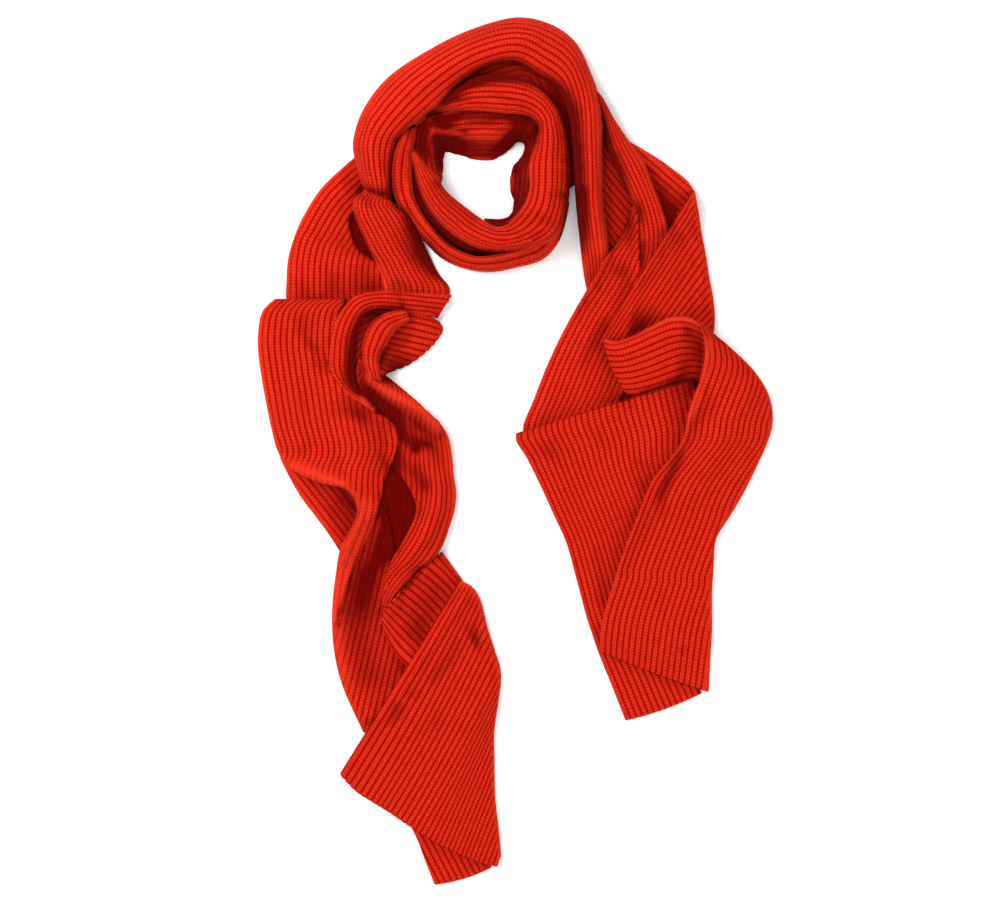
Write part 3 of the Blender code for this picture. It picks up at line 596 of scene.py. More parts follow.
def rest_on_heap(grid, relief):
    """Raises the cloth until it clears the heap, softly, and notes its faces on the heap."""
    laid = grid[..., 2].copy()
    for _ in range(LAY_ROUNDS):
        spots = filled_in(skins(grid, relief)[1])
        column, row = cells_of(spots[:, 0], spots[:, 1])
        below = heights[column, row]
        short = np.where(below > 0, below + CLEAR - spots[:, 2], 0)
        if short.max() < SHORT_OF_AIR * CLEAR:
            break
        lift = np.zeros_like(heights)
        np.maximum.at(lift, (column, row), short)
        lifted = grid[..., 2] + between_cells(softened(lift), grid[..., 0], grid[..., 1])
        grid[..., 2] = laid + without_peaks(lifted - laid)
    for skin in skins(grid, relief):
        spots = filled_in(skin)
        np.maximum.at(heights, cells_of(spots[:, 0], spots[:, 1]), spots[:, 2])


def knit_counts(grid, rows, ribs):
    """Count of ribs from edge a and of courses along them, at each point of the grid.

    ribs is a way and an amount: spread for a width of cloth spread over every row, from_a or from_b
    for ribs that keep their pitch from that edge, at_edges where each section gives its ribs, rows
    for rows that run along the ribs over a width of cloth, straight for ribs at an angle.
    """
    columns = np.linalg.norm(np.diff(grid, axis=1), axis=2)
    from_a = np.concatenate([np.zeros((len(grid), 1)), np.cumsum(columns, axis=1)], axis=1)
    middle = grid[:, grid.shape[1] // 2]
    along = np.concatenate([[0], np.cumsum(np.linalg.norm(np.diff(middle, axis=0), axis=1))])
    along = np.repeat(along[:, None], grid.shape[1], axis=1)
    way, amount = ribs
    from_b, share = from_a[:, -1:] - from_a, from_a / from_a[:, -1:]
    rib, course = from_a, along
    if way == "spread":
        rib = share * amount
    elif way == "from_b":
        rib = from_b
    elif way == "at_edges":
        rib = rows[:, 8:9] + share * (rows[:, 9:10] - rows[:, 8:9])
    elif way == "rows":
        rib, course = along / along[-1:] * amount, from_b
    elif way == "straight":
        turn = np.radians(amount)
        rib = grid[..., 0] * np.sin(turn) - grid[..., 1] * np.cos(turn)
        course = grid[..., 0] * np.cos(turn) + grid[..., 1] * np.sin(turn)
    return rib / RIB, course / COURSE, from_a, along


def nap_highlight_places(grid, from_a, roll_a, roll_b, nap_highlight_lines):
    """1 where the nap hides the ribs and the red is painted lighter as a highlight, on the edge of a fold
    or along a ridge, and 0 elsewhere.
    """
    nap_highlight = np.zeros(grid.shape[:2])
    for roll, away in ((roll_a, from_a), (roll_b, from_a[:, -1:] - from_a)):
        if roll > SELVEDGE:
            nap_highlight = np.maximum(nap_highlight, np.exp(-((away / (NAP_REACH * roll)) ** 2)))
    for points, half_width, strength in nap_highlight_lines:
        away = away_from(grid[..., 0], grid[..., 1], points)[0]
        nap_highlight = np.maximum(nap_highlight, strength * np.exp(-((away / half_width) ** 2)))
    return nap_highlight


def closed_wall(upper, lower):
    """Points and faces of the cloth between its two sides, and the points along its edge."""
    rows, columns = upper.shape[:2]
    skin = rows * columns
    index = np.arange(skin).reshape(rows, columns)
    rim = np.concatenate([index[0, :], index[1:, -1], index[-1, -2::-1], index[-2:0:-1, 0]])
    inner = np.concatenate([index[1, :], index[1:, -2], index[-2, -2::-1], index[-2:0:-1, 1]])
    top, low = upper.reshape(-1, 3), lower.reshape(-1, 3)
    middle = (top[rim] + low[rim]) / 2
    outward = middle - (top[inner] + low[inner]) / 2
    outward /= np.maximum(np.linalg.norm(outward, axis=1, keepdims=True), 1e-6)
    thick = np.linalg.norm(top[rim] - low[rim], axis=1, keepdims=True)
    middle += outward * thick * RIM_ROUND
    middle[:, 2] = np.maximum(middle[:, 2], RIM_LEVEL)
    points = np.concatenate([top, low, middle])
    a, b = index[:-1, :-1].ravel(), index[1:, :-1].ravel()
    c, d = index[1:, 1:].ravel(), index[:-1, 1:].ravel()
    k = np.arange(len(rim))
    n = (k + 1) % len(rim)
    sides = (
        (a, b, c, d),
        (d + skin, c + skin, b + skin, a + skin),
        (rim[n], rim[k], 2 * skin + k, 2 * skin + n),
        (2 * skin + n, 2 * skin + k, rim[k] + skin, rim[n] + skin),
    )
    faces = np.concatenate([np.stack(side, 1) for side in sides])
    if np.cross(points[c] - points[a], points[d] - points[b])[:, 2].sum() < 0:
        faces = faces[:, ::-1]
    return points, faces, rim


def lay_stretch(name, sections, roll_a, roll_b, ribs, creases=(), nap_highlight_lines=()):
    fine = RIB / PER_RIB
    row_step, column_step = ALONG_STEP, fine
    if ribs[0] == "rows":
        row_step, column_step = fine, ALONG_STEP
    elif ribs[0] == "straight":
        row_step, column_step = SLANT_STEP * fine, SLANT_STEP * fine
    rows = curve_through(sections, row_step)
    grid = drape(rows, roll_a, roll_b, creases, column_step)
    rib, course, from_a, along = knit_counts(grid, rows, ribs)
    nap_highlight = nap_highlight_places(grid, from_a, roll_a, roll_b, nap_highlight_lines)
    relief = rib_profile(rib) * (1 - nap_highlight) + NAP_RELIEF * nap_highlight
    rest_on_heap(grid, relief)
    points, faces, rim = closed_wall(*skins(grid, relief))
    counts = np.stack([rib.ravel(), course.ravel()], 1)
    counts = np.concatenate([counts, counts, counts[rim]])
    nap_highlight_points = nap_highlight.ravel()
    nap_highlight_points = np.concatenate([nap_highlight_points, nap_highlight_points, np.maximum(nap_highlight_points[rim], RIM_NAP_HIGHLIGHT)])

    quads = np.cross(grid[1:, 1:] - grid[:-1, :-1], grid[1:, :-1] - grid[:-1, 1:])
    area = 0.5 * np.linalg.norm(quads, axis=2).sum() * MM * MM
    width = from_a[:, -1].max() * MM
    size = (width, max(along.max() * MM, area / width))
    area = max(area, LEAST_AREA * size[0] * size[1])
    declare_knit(name, points, faces.tolist(), counts, nap_highlight_points)


# A section of cloth on each row: x, y and z of its edge a, x, y and z of its edge b, how far its
# middle bows to the left, and how far that rises. Creases, and naps with their painted highlight: a
# line, half width, amount.
sections = (
    (136, 360, 6, 138, 370, 6, 0, 1),
    (148, 343, 6, 165, 354, 6, 0, 2),
    (158, 322, 6, 188, 338, 6, 0, 3),
    (166, 298, 6, 208, 321, 6, 0, 3),
    (174, 272, 6, 216, 302, 6, 0, 3),
    (180, 250, 6, 212, 276, 6, 0, 2),
)
lay_stretch(
    "tail_outer", sections, SELVEDGE, FOLD, ribs=("straight", -41.0),
)

# ======================================== tail inner
# Shaded panel of the right tail, sunk between two strips. One layer of the knit lies slack there,
# with its ribs slanting.

sections = (
    (96, 372, 8, 106, 384, 8, 0, 1),
    (95, 345, 6, 118, 350, 6, 0, 0),
    (96, 312, 6, 132, 322, 6, 0, 0),
    (100, 280, 6, 144, 300, 6, 0, 0),
    (106, 245, 6, 147, 275, 6, 0, 0),
    (116, 225, 6, 147, 240, 6, 0, 0),
)
creases = (
    (((112, 360), (128, 262)), 10, 2),
)
lay_stretch(
    "tail_inner", sections, SELVEDGE, SELVEDGE, ribs=("straight", -50.0),
    creases=creases,
)

# ======================================== tail middle
# Middle strip of the right tail, a soft ridge that runs down from the loop. The knit is folded
# double lengthwise, so both its edges are folds.

sections = (
    (98, 430, 16, 106, 418, 12, 0, 1),
    (103, 402, 14, 120, 394, 10, 0, 2),
    (108, 368, 12, 138, 368, 10, 0, 4),
    (121, 334, 10, 155, 344, 10, 0, 6),
    (135, 308, 9, 167, 314, 9, 0, 6),
    (143, 284, 9, 177, 288, 9, 0, 5),
    (146, 255, 8, 184, 264, 8, 0, 4),
    (146, 228, 8, 180, 240, 8, 0, 3),
    (144, 204, 8, 160, 212, 8, 0, 1),
)
lay_stretch(
    "tail_middle", sections, FOLD, FOLD, ribs=("spread", 56.0),
)

# ======================================== inner wall
# Inner wall of the loop, low and dark round the neck opening. It is the back of the knit, and it
# hangs in soft folds from the band above it.

sections = (
    (-108, 322, 20, -89, 321, 1, 0, 0),
    (-118, 345, 22, -88, 338, 0, 0, -2),
    (-113, 388, 24, -85, 358, 0, 0, -3),
    (-86, 404, 24, -70, 356, 0, 0, -3),
    (-54, 410, 24, -52, 351, 0, 0, -2),
    (-24, 410, 24, -28, 350, 0, 0, -2),
    (4, 408, 24, -10, 360, 0, 0, -2),
    (26, 402, 24, 3, 371, 0, 0, -2),
    (38, 384, 24, 12, 365, 0, 0, -2),
    (34, 358, 24, 8, 353, 0, 0, -2),
    (30, 335, 24, -3, 338, 0, 0, -2),
    (28, 314, 24, -6, 317, 0, 0, -2),
    (22, 290, 22, -1, 297, 0, 0, -2),
    (4, 268, 20, -7, 280, 0, 0, -1),
    (-18, 256, 18, -20, 277, 0, 0, -1),
    (-42, 262, 16, -37, 277, 0, 0, 0),
)
creases = (
    (((-98, 384), (-60, 374), (-20, 372), (14, 386)), 9, 5),
    (((-88, 362), (-60, 356), (-30, 358)), 7, -2),
    (((-102, 404), (-101, 372), (-98, 340)), 9, 5),
    (((-114, 398), (-115, 350)), 8, -2),
    (((24, 394), (20, 384), (12, 376)), 7, 4),
    (((4, 345), (6, 300)), 8, -2),
)
nap_highlight_lines = (
    (((-98, 384), (-60, 374), (-20, 372), (14, 386)), 8, 0.5),
)
lay_stretch(
    "inner_wall", sections, SELVEDGE, SELVEDGE, ribs=("from_a", 0),
    creases=creases, nap_highlight_lines=nap_highlight_lines,
)

# ======================================== low turn
# Low turn that shows outside the inner band, at the left and below. The knit is rolled there, so
# only two or three ribs show.

sections = (
    (-136, 380, 8, -116, 388, 14, 0, 1),
    (-147, 352, 4, -121, 358, 12, 0, 3),
    (-149, 320, 1, -123, 326, 10, 0, 5),
    (-142, 296, 0, -119, 300, 9, 0, 6),
    (-126, 272, 0, -106, 276, 8, 0, 6),
    (-109, 250, 0, -89, 257, 7, 0, 6),
    (-88, 230, 0, -68, 240, 7, 0, 6),
    (-60, 218, 0, -44, 232, 7, 0, 6),
    (-30, 214, 0, -16, 236, 6, 0, 6),
    (5, 220, 0, 4, 243, 5, 0, 6),
    (33, 229, 0, 23, 251, 5, 0, 6),
    (52, 250, 0, 35, 263, 5, 0, 5),
    (61, 276, 0, 44, 281, 5, 0, 4),
    (65, 298, 0, 48, 300, 5, 0, 3),
)
lay_stretch(
    "low_turn", sections, 6.0, FOLD, ribs=("spread", 26.0),
)

# ======================================== inner band
# Inner band of the loop, right round the opening. It is rolled over the wall below it, and its
# crest runs in a soft ring of ribs.

sections = (
    (-126, 396, 8, -118, 386, 10, 0, 1),
    (-106, 414, 9, -99, 400, 16, 0, 4),
    (-84, 425, 10, -80, 405, 20, 0, 8),
    (-54, 445, 10, -50, 406, 22, 0, 13),
    (-20, 451, 10, -18, 403, 22, 0, 15),
    (18, 442, 8, 10, 400, 22, 0, 15),
    (44, 420, 6, 26, 390, 22, 0, 16),
    (59, 391, 4, 26, 370, 22, 0, 17),
    (66, 345, 2, 17, 343, 22, 0, 18),
    (65, 312, 1, 16, 313, 22, 0, 18),
    (61, 282, 1, 10, 294, 22, 0, 18),
    (51, 256, 3, -2, 279, 20, 0, 17),
    (26, 244, 4, -13, 269, 18, 0, 16),
    (-10, 237, 5, -25, 268, 15, 0, 15),
    (-45, 240, 6, -40, 277, 12, 0, 14),
    (-80, 260, 7, -63, 294, 10, 0, 13),
    (-102, 284, 8, -83, 311, 10, 0, 13),
    (-115, 308, 10, -94, 328, 12, 0, 10),
    (-121, 330, 12, -107, 342, 12, 0, 6),
    (-126, 356, 12, -120, 360, 12, 0, 2),
)
creases = (
    (((40, 380), (40, 335), (36, 290)), 12, 3),
    (((-60, 262), (-24, 250), (12, 250)), 10, 3),
    (((-70, 420), (-20, 424), (20, 412)), 9, -2),
)
lay_stretch(
    "inner_band", sections, 9.0, FOLD, ribs=("spread", 66.0), creases=creases,
)

# ======================================== left shoulder
# Shoulder of the left tail, which comes out from under the loop. One layer of the knit turns down
# there, sunk into a pocket beside the lobe.

sections = (
    (-190, 354, 1, -164, 330, 6, 0, 3),
    (-206, 341, 0, -180, 308, 4, 0, 3),
    (-233, 315, 0, -198, 282, 3, 0, 3),
    (-252, 286, 0, -197, 260, 3, 0, 4),
    (-265, 258, 0, -188, 240, 3, 0, 5),
    (-273, 230, 0, -166, 222, 5, 0, 6),
    (-275, 204, 0, -150, 202, 6, 0, 4),
    (-275, 180, 0, -140, 180, 4, 0, 1),
    (-270, 165, 0, -150, 165, 3, 0, 0),
)
creases = (
    (((-256, 250), (-246, 220), (-240, 190)), 22, 3),
)
lay_stretch(
    "left_shoulder", sections, FOLD, SELVEDGE, ribs=("from_a", 0),
    creases=creases,
)

# ======================================== outer band
# Outer band of the loop, over the top and down into the right tail. It is the thickest roll, ten
# ribs wide at the left and squeezed to a few at the right.

sections = (
    (-174, 290, 6, -146, 290, 8, 0, 3),
    (-184, 318, 2, -149, 314, 12, 0, 10),
    (-192, 345, 0, -147, 345, 16, 0, 14),
    (-195, 372, 0, -139, 374, 20, 0, 16),
    (-183, 409, 0, -116, 394, 24, 0, 18),
    (-153, 448, 0, -88, 417, 26, 0, 18),
    (-104, 481, 0, -60, 443, 26, 0, 17),
    (-55, 505, 0, -31, 459, 26, 0, 16),
    (0, 520, 0, 1, 463, 26, 0, 15),
    (42, 512, 0, 30, 446, 24, 0, 15),
    (72, 490, 0, 52, 430, 20, 0, 15),
    (90, 454, 2, 62, 408, 14, 0, 15),
    (100, 424, 10, 66, 386, 8, 0, 14),
    (104, 390, 16, 68, 360, 6, 0, 12),
    (105, 345, 14, 70, 325, 4, 0, 11),
    (105, 300, 12, 73, 288, 3, 0, 10),
    (110, 262, 10, 77, 250, 2, 0, 8),
    (112, 236, 8, 82, 210, 2, 0, 6),
    (104, 212, 6, 88, 182, 2, 0, 2),
)
creases = (
    (((-120, 432), (-60, 464), (20, 490)), 16, 3),
    (((-172, 400), (-172, 360), (-160, 320)), 12, 3),
    (((86, 400), (90, 330), (96, 260)), 8, 3),
    (((-140, 330), (-126, 384), (-80, 426)), 10, -2),
)
lay_stretch(
    "outer_band", sections, 12.0, 6.0, ribs=("spread", 74.0), creases=creases,
)

# ======================================== right return
# First return of the right tail, folded back to the lower left. One layer of the knit shows from
# its selvedge to the second return.

sections = (
    (141, 294, 8, 145, 290, 8, 0, 0),
    (126, 255, 8, 147, 262, 8, 0, 1),
    (108, 231, 8, 148, 236, 8, 0, 2),
    (96, 209, 6, 147, 208, 6, 0, 2),
    (84, 189, 1, 144, 184, 6, 0, 2),
    (66, 158, 0, 138, 158, 6, 0, 2),
    (50, 127, 0, 132, 128, 6, 0, 2),
    (36, 96, 0, 130, 98, 6, 0, 1),
    (22, 60, 0, 128, 68, 6, 0, 1),
    (10, 30, 0, 112, 44, 6, 0, 0),
    (12, 12, 0, 96, 26, 6, 0, 0),
)
creases = (
    (((120, 200), (60, 90)), 18, 2.5),
)
lay_stretch(
    "right_return", sections, SELVEDGE, SELVEDGE, ribs=("from_a", 0),
    creases=creases,
)

# ======================================== right back
# Second return of the right tail, over the first. Its ribs run from the fold at the outer edge
# down to the cuff.

sections = (
    (214, 313, 8, 104, 137, 6, 0, 0),
    (219, 288, 1, 112, 122, 6, 0, 1),
    (223, 262, 0, 128, 116, 6, 0, 2),
    (228, 236, 0, 148, 120, 6, 0, 3),
    (232, 210, 0, 168, 126, 6, 0, 3),
    (237, 184, 0, 190, 130, 6, 0, 2),
    (239, 160, 0, 210, 130, 6, 0, 1),
    (237, 138, 0, 226, 128, 6, 0, 0),
)
creases = (
    (((210, 250), (130, 140)), 20, 2.5),
)
lay_stretch(
    "right_back", sections, FOLD, SELVEDGE, ribs=("rows", 132.0),
    creases=creases,
)

# ======================================== right cuff
# Cuff of the right tail, where it folds back again to the right. The fold stands up in a soft arch
# and the ribs run round it.

sections = (
    (104, 135, 10, 134, 67, 8, -5, 3),
    (120, 131, 14, 142, 66, 10, 0, 6),
    (141, 138, 16, 158, 69, 10, 0, 8),
    (162, 149, 18, 177, 74, 10, 0, 8),
    (183, 159, 20, 196, 80, 10, 0, 5),
    (204, 160, 22, 214, 84, 10, 0, 0),
    (222, 152, 24, 228, 84, 10, 0, -3),
    (232, 142, 24, 236, 86, 10, 0, -3),
)
creases = (
    (((124, 118), (160, 132), (196, 142)), 12, 3),
    (((186, 140), (208, 100)), 18, -1.5),
)
lay_stretch(
    "right_cuff", sections, FOLD, SELVEDGE, ribs=("spread", 74.0),
    creases=creases,
)

# ======================================== right under end
# Under end of the right tail, from its top fold down to the back hem. The ribs close up towards
# the hem, where the front end lies on it.

# The last two columns are the ribs' places at edges a and b, in millimetres of knit.
sections = (
    (1, 20, 2, 212, 86, 12, 0, 0, 0, 215),
    (2, 10, 1, 216, 62, 10, 0, 2, 0, 213),
    (14, -9, 0, 214, 30, 8, 0, 3, 0, 206),
    (30, -41, 0, 200, -5, 6, 0, 3, 0, 192),
    (46, -76, 0, 186, -45, 6, 0, 3, 0, 165),
    (62, -112, 0, 174, -88, 6, 0, 2, 0, 136),
    (74, -155, 0, 168, -135, 6, 0, 2, 0, 112),
    (87, -203, 0, 170, -185, 6, 0, 1, 0, 98),
    (101, -245, 0, 190, -228, 4, 0, 1, 0, 96),
    (116, -282, 0, 208, -262, 2, 0, 1, 0, 96),
    (132, -323, 0, 222, -291, 1, -3, 0, 0, 96),
)
creases = (
    (((70, 20), (110, -16), (150, -60)), 26, 3),
    (((40, -20), (80, -110), (100, -200)), 20, 3),
)
lay_stretch(
    "right_under_end", sections, SELVEDGE, SELVEDGE, ribs=("at_edges", 0),
    creases=creases,
)

# ======================================== right front end
# Front end of the right tail, rolled over the cuff and down to the hem. A full turn of the knit
# stands up at its left edge and bellies out at the right.

sections = (
    (216, 157, 26, 236, 139, 20, 0, 1),
    (225, 137, 24, 258, 122, 10, 0, 3),
    (227, 112, 22, 286, 95, 2, 0, 6),
    (221, 84, 18, 304, 66, 1, 0, 7),
    (209, 48, 14, 309, 36, 1, 0, 7),
    (201, 13, 12, 303, 11, 1, 0, 7),
    (185, -11, 10, 291, -16, 1, 0, 7),
    (165, -36, 9, 275, -49, 1, 0, 6),
    (152, -66, 8, 258, -78, 1, 0, 5),
    (141, -94, 8, 241, -106, 1, 0, 4),
    (129, -125, 7, 238, -137, 1, 0, 4),
    (117, -161, 6, 236, -175, 1, 0, 3),
    (106, -196, 5, 236, -214, 1, 0, 3),
    (102, -222, 4, 234, -250, 1, 0, 2),
    (102, -240, 2, 232, -289, 1, -2, 1),
)
creases = (
    (((238, -108), (206, -180), (176, -250)), 22, 3),
    (((270, 60), (236, 0), (196, -60)), 26, 4),
    (((222, 130), (216, 60), (186, -6), (150, -70), (124, -140)), 12, 3),
)
nap_highlight_lines = (
    (((232, 132), (226, 90), (210, 46), (196, 6)), 4, 0.6),
)
lay_stretch(
    "right_front_end", sections, SELVEDGE, FOLD, ribs=("from_a", 0),
    creases=creases, nap_highlight_lines=nap_highlight_lines,
)

# ======================================== left lobe
# Lobe of the left tail that curls up over the shoulder. The knit turns over on itself there, so
# both its edges are folds.

sections = (
    (-180, 313, 10, -147, 296, 20, 0, 2),
    (-194, 299, 10, -139, 289, 20, 0, 5),
    (-193, 281, 10, -129, 283, 18, 0, 8),
    (-184, 260, 9, -117, 262, 10, 0, 10),
    (-172, 234, 8, -104, 236, 2, 0, 10),
    (-163, 214, 7, -92, 212, 1, 0, 8),
    (-158, 198, 6, -79, 195, 1, 0, 5),
    (-156, 178, 6, -80, 178, 1, 0, 2),
)
creases = (
    (((-176, 284), (-150, 240), (-120, 200)), 14, 3),
    (((-186, 300), (-182, 270), (-168, 236)), 8, 3),
)
lay_stretch(
    "left_lobe", sections, FOLD, FOLD, ribs=("spread", 86.0), creases=creases,
)

# ======================================== left panel under
# Shaded underside of the left panel, where it turns back. One layer of the knit, with its ribs
# slanting to the fold at the left.

sections = (
    (-283, -8, 0, -258, -10, 4, 0, 0),
    (-271, -33, 0, -225, -22, 4, 0, 0),
    (-257, -57, 0, -200, -38, 4, 0, 0),
    (-241, -78, 0, -186, -60, 4, 0, 0),
    (-226, -98, 0, -184, -84, 3, 0, 0),
    (-211, -121, 0, -186, -106, 2, 0, 0),
)
lay_stretch(
    "left_panel_under", sections, FOLD, SELVEDGE, ribs=("straight", -52.0),
)

# ======================================== left inner turn
# Long inner turn of the left tail, a lit roll beside a deep hollow. One layer of the knit sags
# between its left edge and the last fold.

sections = (
    (-189, -66, 8, -160, -62, 8, 0, 2),
    (-194, -86, 5, -152, -84, 5, 0, 2),
    (-210, -118, 2, -147, -112, 4, 0, 1),
    (-216, -150, 0, -142, -145, 3, 0, 0),
    (-220, -186, 0, -140, -182, 3, 0, 0),
    (-220, -220, 0, -136, -220, 3, 0, 0),
    (-216, -252, 0, -116, -248, 3, 0, 1),
    (-208, -282, 0, -118, -275, 3, 0, 2),
    (-197, -308, 0, -132, -300, 3, 0, 2),
    (-183, -338, 0, -152, -325, 3, 0, 1),
)
creases = (
    (((-190, -84), (-206, -130)), 11, 3),
    (((-206, -130), (-211, -200)), 10, 4),
    (((-211, -200), (-203, -270)), 12, 4),
)
nap_highlight_lines = (
    (((-214, -190), (-214, -240), (-206, -280)), 9, 0.6),
)
lay_stretch(
    "left_inner_turn", sections, FOLD, SELVEDGE, ribs=("straight", 77.0),
    creases=creases, nap_highlight_lines=nap_highlight_lines,
)

# ======================================== left valley
# Valley of the left tail and the ridge that it runs into. The knit stands up in a rim at the top,
# sinks beside the panel, and rises again to a long slanting ridge.

sections = (
    (-187, 112, 12, -92, 34, 10, 3, 4),
    (-189, 84, 6, -81, 16, 6, 2, 0),
    (-176, 52, 3, -76, -8, 4, 0, -2),
    (-160, 20, 2, -74, -32, 4, 0, -2),
    (-150, -14, 2, -71, -52, 4, 0, 0),
    (-128, -42, 2, -73, -72, 4, 0, 4),
    (-118, -72, 3, -79, -92, 4, 0, 7),
    (-130, -100, 4, -87, -114, 4, 0, 8),
    (-145, -126, 4, -100, -133, 5, 0, 8),
    (-154, -152, 4, -120, -150, 6, 0, 7),
    (-159, -178, 4, -138, -167, 7, 0, 5),
    (-159, -196, 4, -147, -184, 7, 0, 3),
)
creases = (
    (((-172, 86), (-158, 74), (-138, 62), (-110, 46), (-92, 28)), 12, 11),
    (((-170, 60), (-146, 40), (-120, 0)), 16, -4),
    (((-108, -6), (-92, -42), (-94, -70), (-110, -100), (-134, -132)), 15, 7),
)
nap_highlight_lines = (
    (((-176, 90), (-158, 74), (-138, 62), (-110, 46), (-92, 28)), 7, 0.7),
)
lay_stretch(
    "left_valley", sections, SELVEDGE, FOLD, ribs=("from_b", 0),
    creases=creases, nap_highlight_lines=nap_highlight_lines,
)

# ======================================== left curl
# Small curl at the right of the left tail, its ribs fanning to the edge. It is the hollow side of
# the knit where the tail turns back on itself.

sections = (
    (-160, 165, 10, -94, 156, 6, 6, 4),
    (-150, 158, 8, -88, 145, 2, 2, 5),
    (-152, 142, 5, -97, 130, 1, 0, 5),
    (-158, 128, 4, -110, 117, 1, 0, 4),
    (-165, 116, 4, -128, 104, 1, 0, 3),
    (-172, 107, 4, -145, 97, 1, 0, 2),
    (-172, 98, 4, -160, 90, 1, 0, 1),
)
lay_stretch(
    "left_curl", sections, SELVEDGE, SELVEDGE, ribs=("rows", 84.0),
)

# ======================================== left roll
# Roll beside the curl, where the knit turns over from the valley's rim. It stands up as a short
# ridge of a few ribs.

sections = (
    (-176, 88, 14, -160, 82, 14, 0, 2),
    (-184, 112, 14, -163, 108, 12, 0, 5),
    (-183, 134, 12, -152, 130, 12, 0, 6),
    (-172, 156, 10, -143, 144, 10, 0, 5),
    (-152, 166, 8, -136, 149, 8, 0, 3),
    (-132, 168, 6, -126, 156, 6, 0, 1),
)
lay_stretch(
    "left_roll", sections, FOLD, FOLD, ribs=("spread", 36.0),
)

# ======================================== left hollow
# Hollow inside the last turn of the left tail. One layer of the knit, with its ribs across, which
# sinks under the front end.

sections = (
    (-88, -122, 3, -66, -152, 3, 0, 0),
    (-100, -134, 4, -62, -176, 4, 2, 1),
    (-116, -147, 6, -68, -194, 4, 3, 2),
    (-132, -163, 7, -82, -213, 4, 3, 3),
    (-147, -181, 7, -96, -232, 4, 3, 3),
    (-158, -198, 5, -109, -249, 4, -2, 3),
    (-157, -213, 3, -124, -262, 3, -6, 2),
)
lay_stretch(
    "left_hollow", sections, SELVEDGE, SELVEDGE, ribs=("rows", 110.0),
)

# ======================================== left under end
# Under end of the left tail, whose corner shows below the front end. It is the back hem of the
# scarf's left end.

sections = (
    (-150, -400, 0, -50, -400, 1, 0, 0),
    (-132, -435, 0, -42, -440, 1, 0, 0),
    (-119, -463, 0, -34, -466, 1, 0, 0),
    (-108, -490, 0, -31, -486, 1, 0, 0),
    (-96, -520, 0, -30, -500, 1, -3, 0),
)
lay_stretch(
    "left_under_end", sections, SELVEDGE, SELVEDGE, ribs=("straight", -63.0),
)

# ======================================== left front end
# Front end of the left tail, with its ribs slanting down to the hem. It is one flat layer of the
# knit, folded back at its right edge.

sections = (
    (-66, -156, 10, -210, -388, 2, 0, 0),
    (-52, -163, 6, -191, -408, 1, 3, 2),
    (-42, -180, 2, -171, -421, 1, 5, 3),
    (-34, -212, 1, -153, -432, 1, 4, 3),
    (-26, -237, 1, -137, -443, 1, 3, 3),
    (-18, -266, 1, -120, -454, 1, 2, 3),
    (-21, -300, 1, -103, -465, 1, 1, 3),
    (-26, -335, 1, -87, -474, 1, 0, 2),
    (-26, -375, 1, -70, -482, 1, 0, 2),
    (-25, -415, 1, -54, -489, 1, 0, 1),
    (-21, -452, 1, -38, -495, 1, 0, 1),
    (-18, -485, 1, -22, -498, 1, 0, 0),
)
creases = (
    (((-150, -340), (-104, -300), (-60, -250)), 26, 3),
    (((-40, -200), (-34, -260), (-32, -320)), 12, 2),
    (((-60, -172), (-104, -236), (-160, -320)), 9, 3),
)
lay_stretch(
    "left_front_end", sections, FOLD, SELVEDGE, ribs=("rows", 236.0),
    creases=creases,
)

# ======================================== left panel
# Large front panel of the left tail. It is the knit's full width less what curls away at the right,
# and below it narrows to a napped roll that runs down the inner turn. The nap along its lower edge
# and down the roll is painted lighter as a highlight.

# The last two columns are the ribs' places at edges a and b, in millimetres of knit.
sections = (
    (-289, 181, 6, -204, 182, 10, 0, 0, 0, 85),
    (-304, 166, 2, -209, 170, 12, 0, 3, 0, 95),
    (-309, 142, 0, -219, 146, 12, 0, 1, 0, 90),
    (-309, 118, 0, -223, 118, 12, 0, -1, 0, 86),
    (-305, 88, 0, -221, 92, 12, 0, -1, 0, 84),
    (-300, 60, 0, -196, 64, 12, 0, 1, 0, 104),
    (-293, 26, 0, -145, 30, 6, 2, 8, 0, 150),
    (-285, -2, 1, -144, 2, 6, 0, 8, 0, 148),
    (-270, -21, 4, -153, -22, 7, 0, 8, 22, 147),
    (-238, -37, 7, -158, -38, 8, 0, 7, 56, 145),
    (-204, -46, 9, -162, -56, 8, 0, 5, 92, 141),
    (-189, -72, 8, -167, -74, 8, 0, 4, 110, 136),
    (-197, -98, 8, -175, -96, 8, 0, 4, 112, 134),
    (-209, -122, 8, -186, -121, 8, 0, 4, 112, 132),
    (-215, -150, 8, -199, -150, 8, 0, 3, 114, 130),
    (-218, -178, 7, -208, -178, 6, 0, 2, 116, 126),
    (-219, -206, 5, -214, -206, 4, 0, 1, 119, 123),
)
creases = (
    (((-252, 150), (-236, 124), (-228, 104)), 22, -3),
    (((-200, 24), (-188, -20), (-178, -64)), 24, 4),
    (((-268, 60), (-262, 10)), 18, 2),
)
nap_highlight_lines = (
    (((-266, -18), (-236, -30), (-206, -42), (-190, -66)), 7, 0.9),
    (((-178, -66), (-184, -96), (-198, -122), (-207, -150), (-212, -182)), 9, 0.55),
)
lay_stretch(
    "left_panel", sections, FOLD, SELVEDGE, ribs=("at_edges", 0),
    creases=creases, nap_highlight_lines=nap_highlight_lines,
)

# ======================================== left panel top
# Band that comes in from the right and turns down as the panel's inner ridge. It is the same knit,
# gathered into a few ribs by the turn.

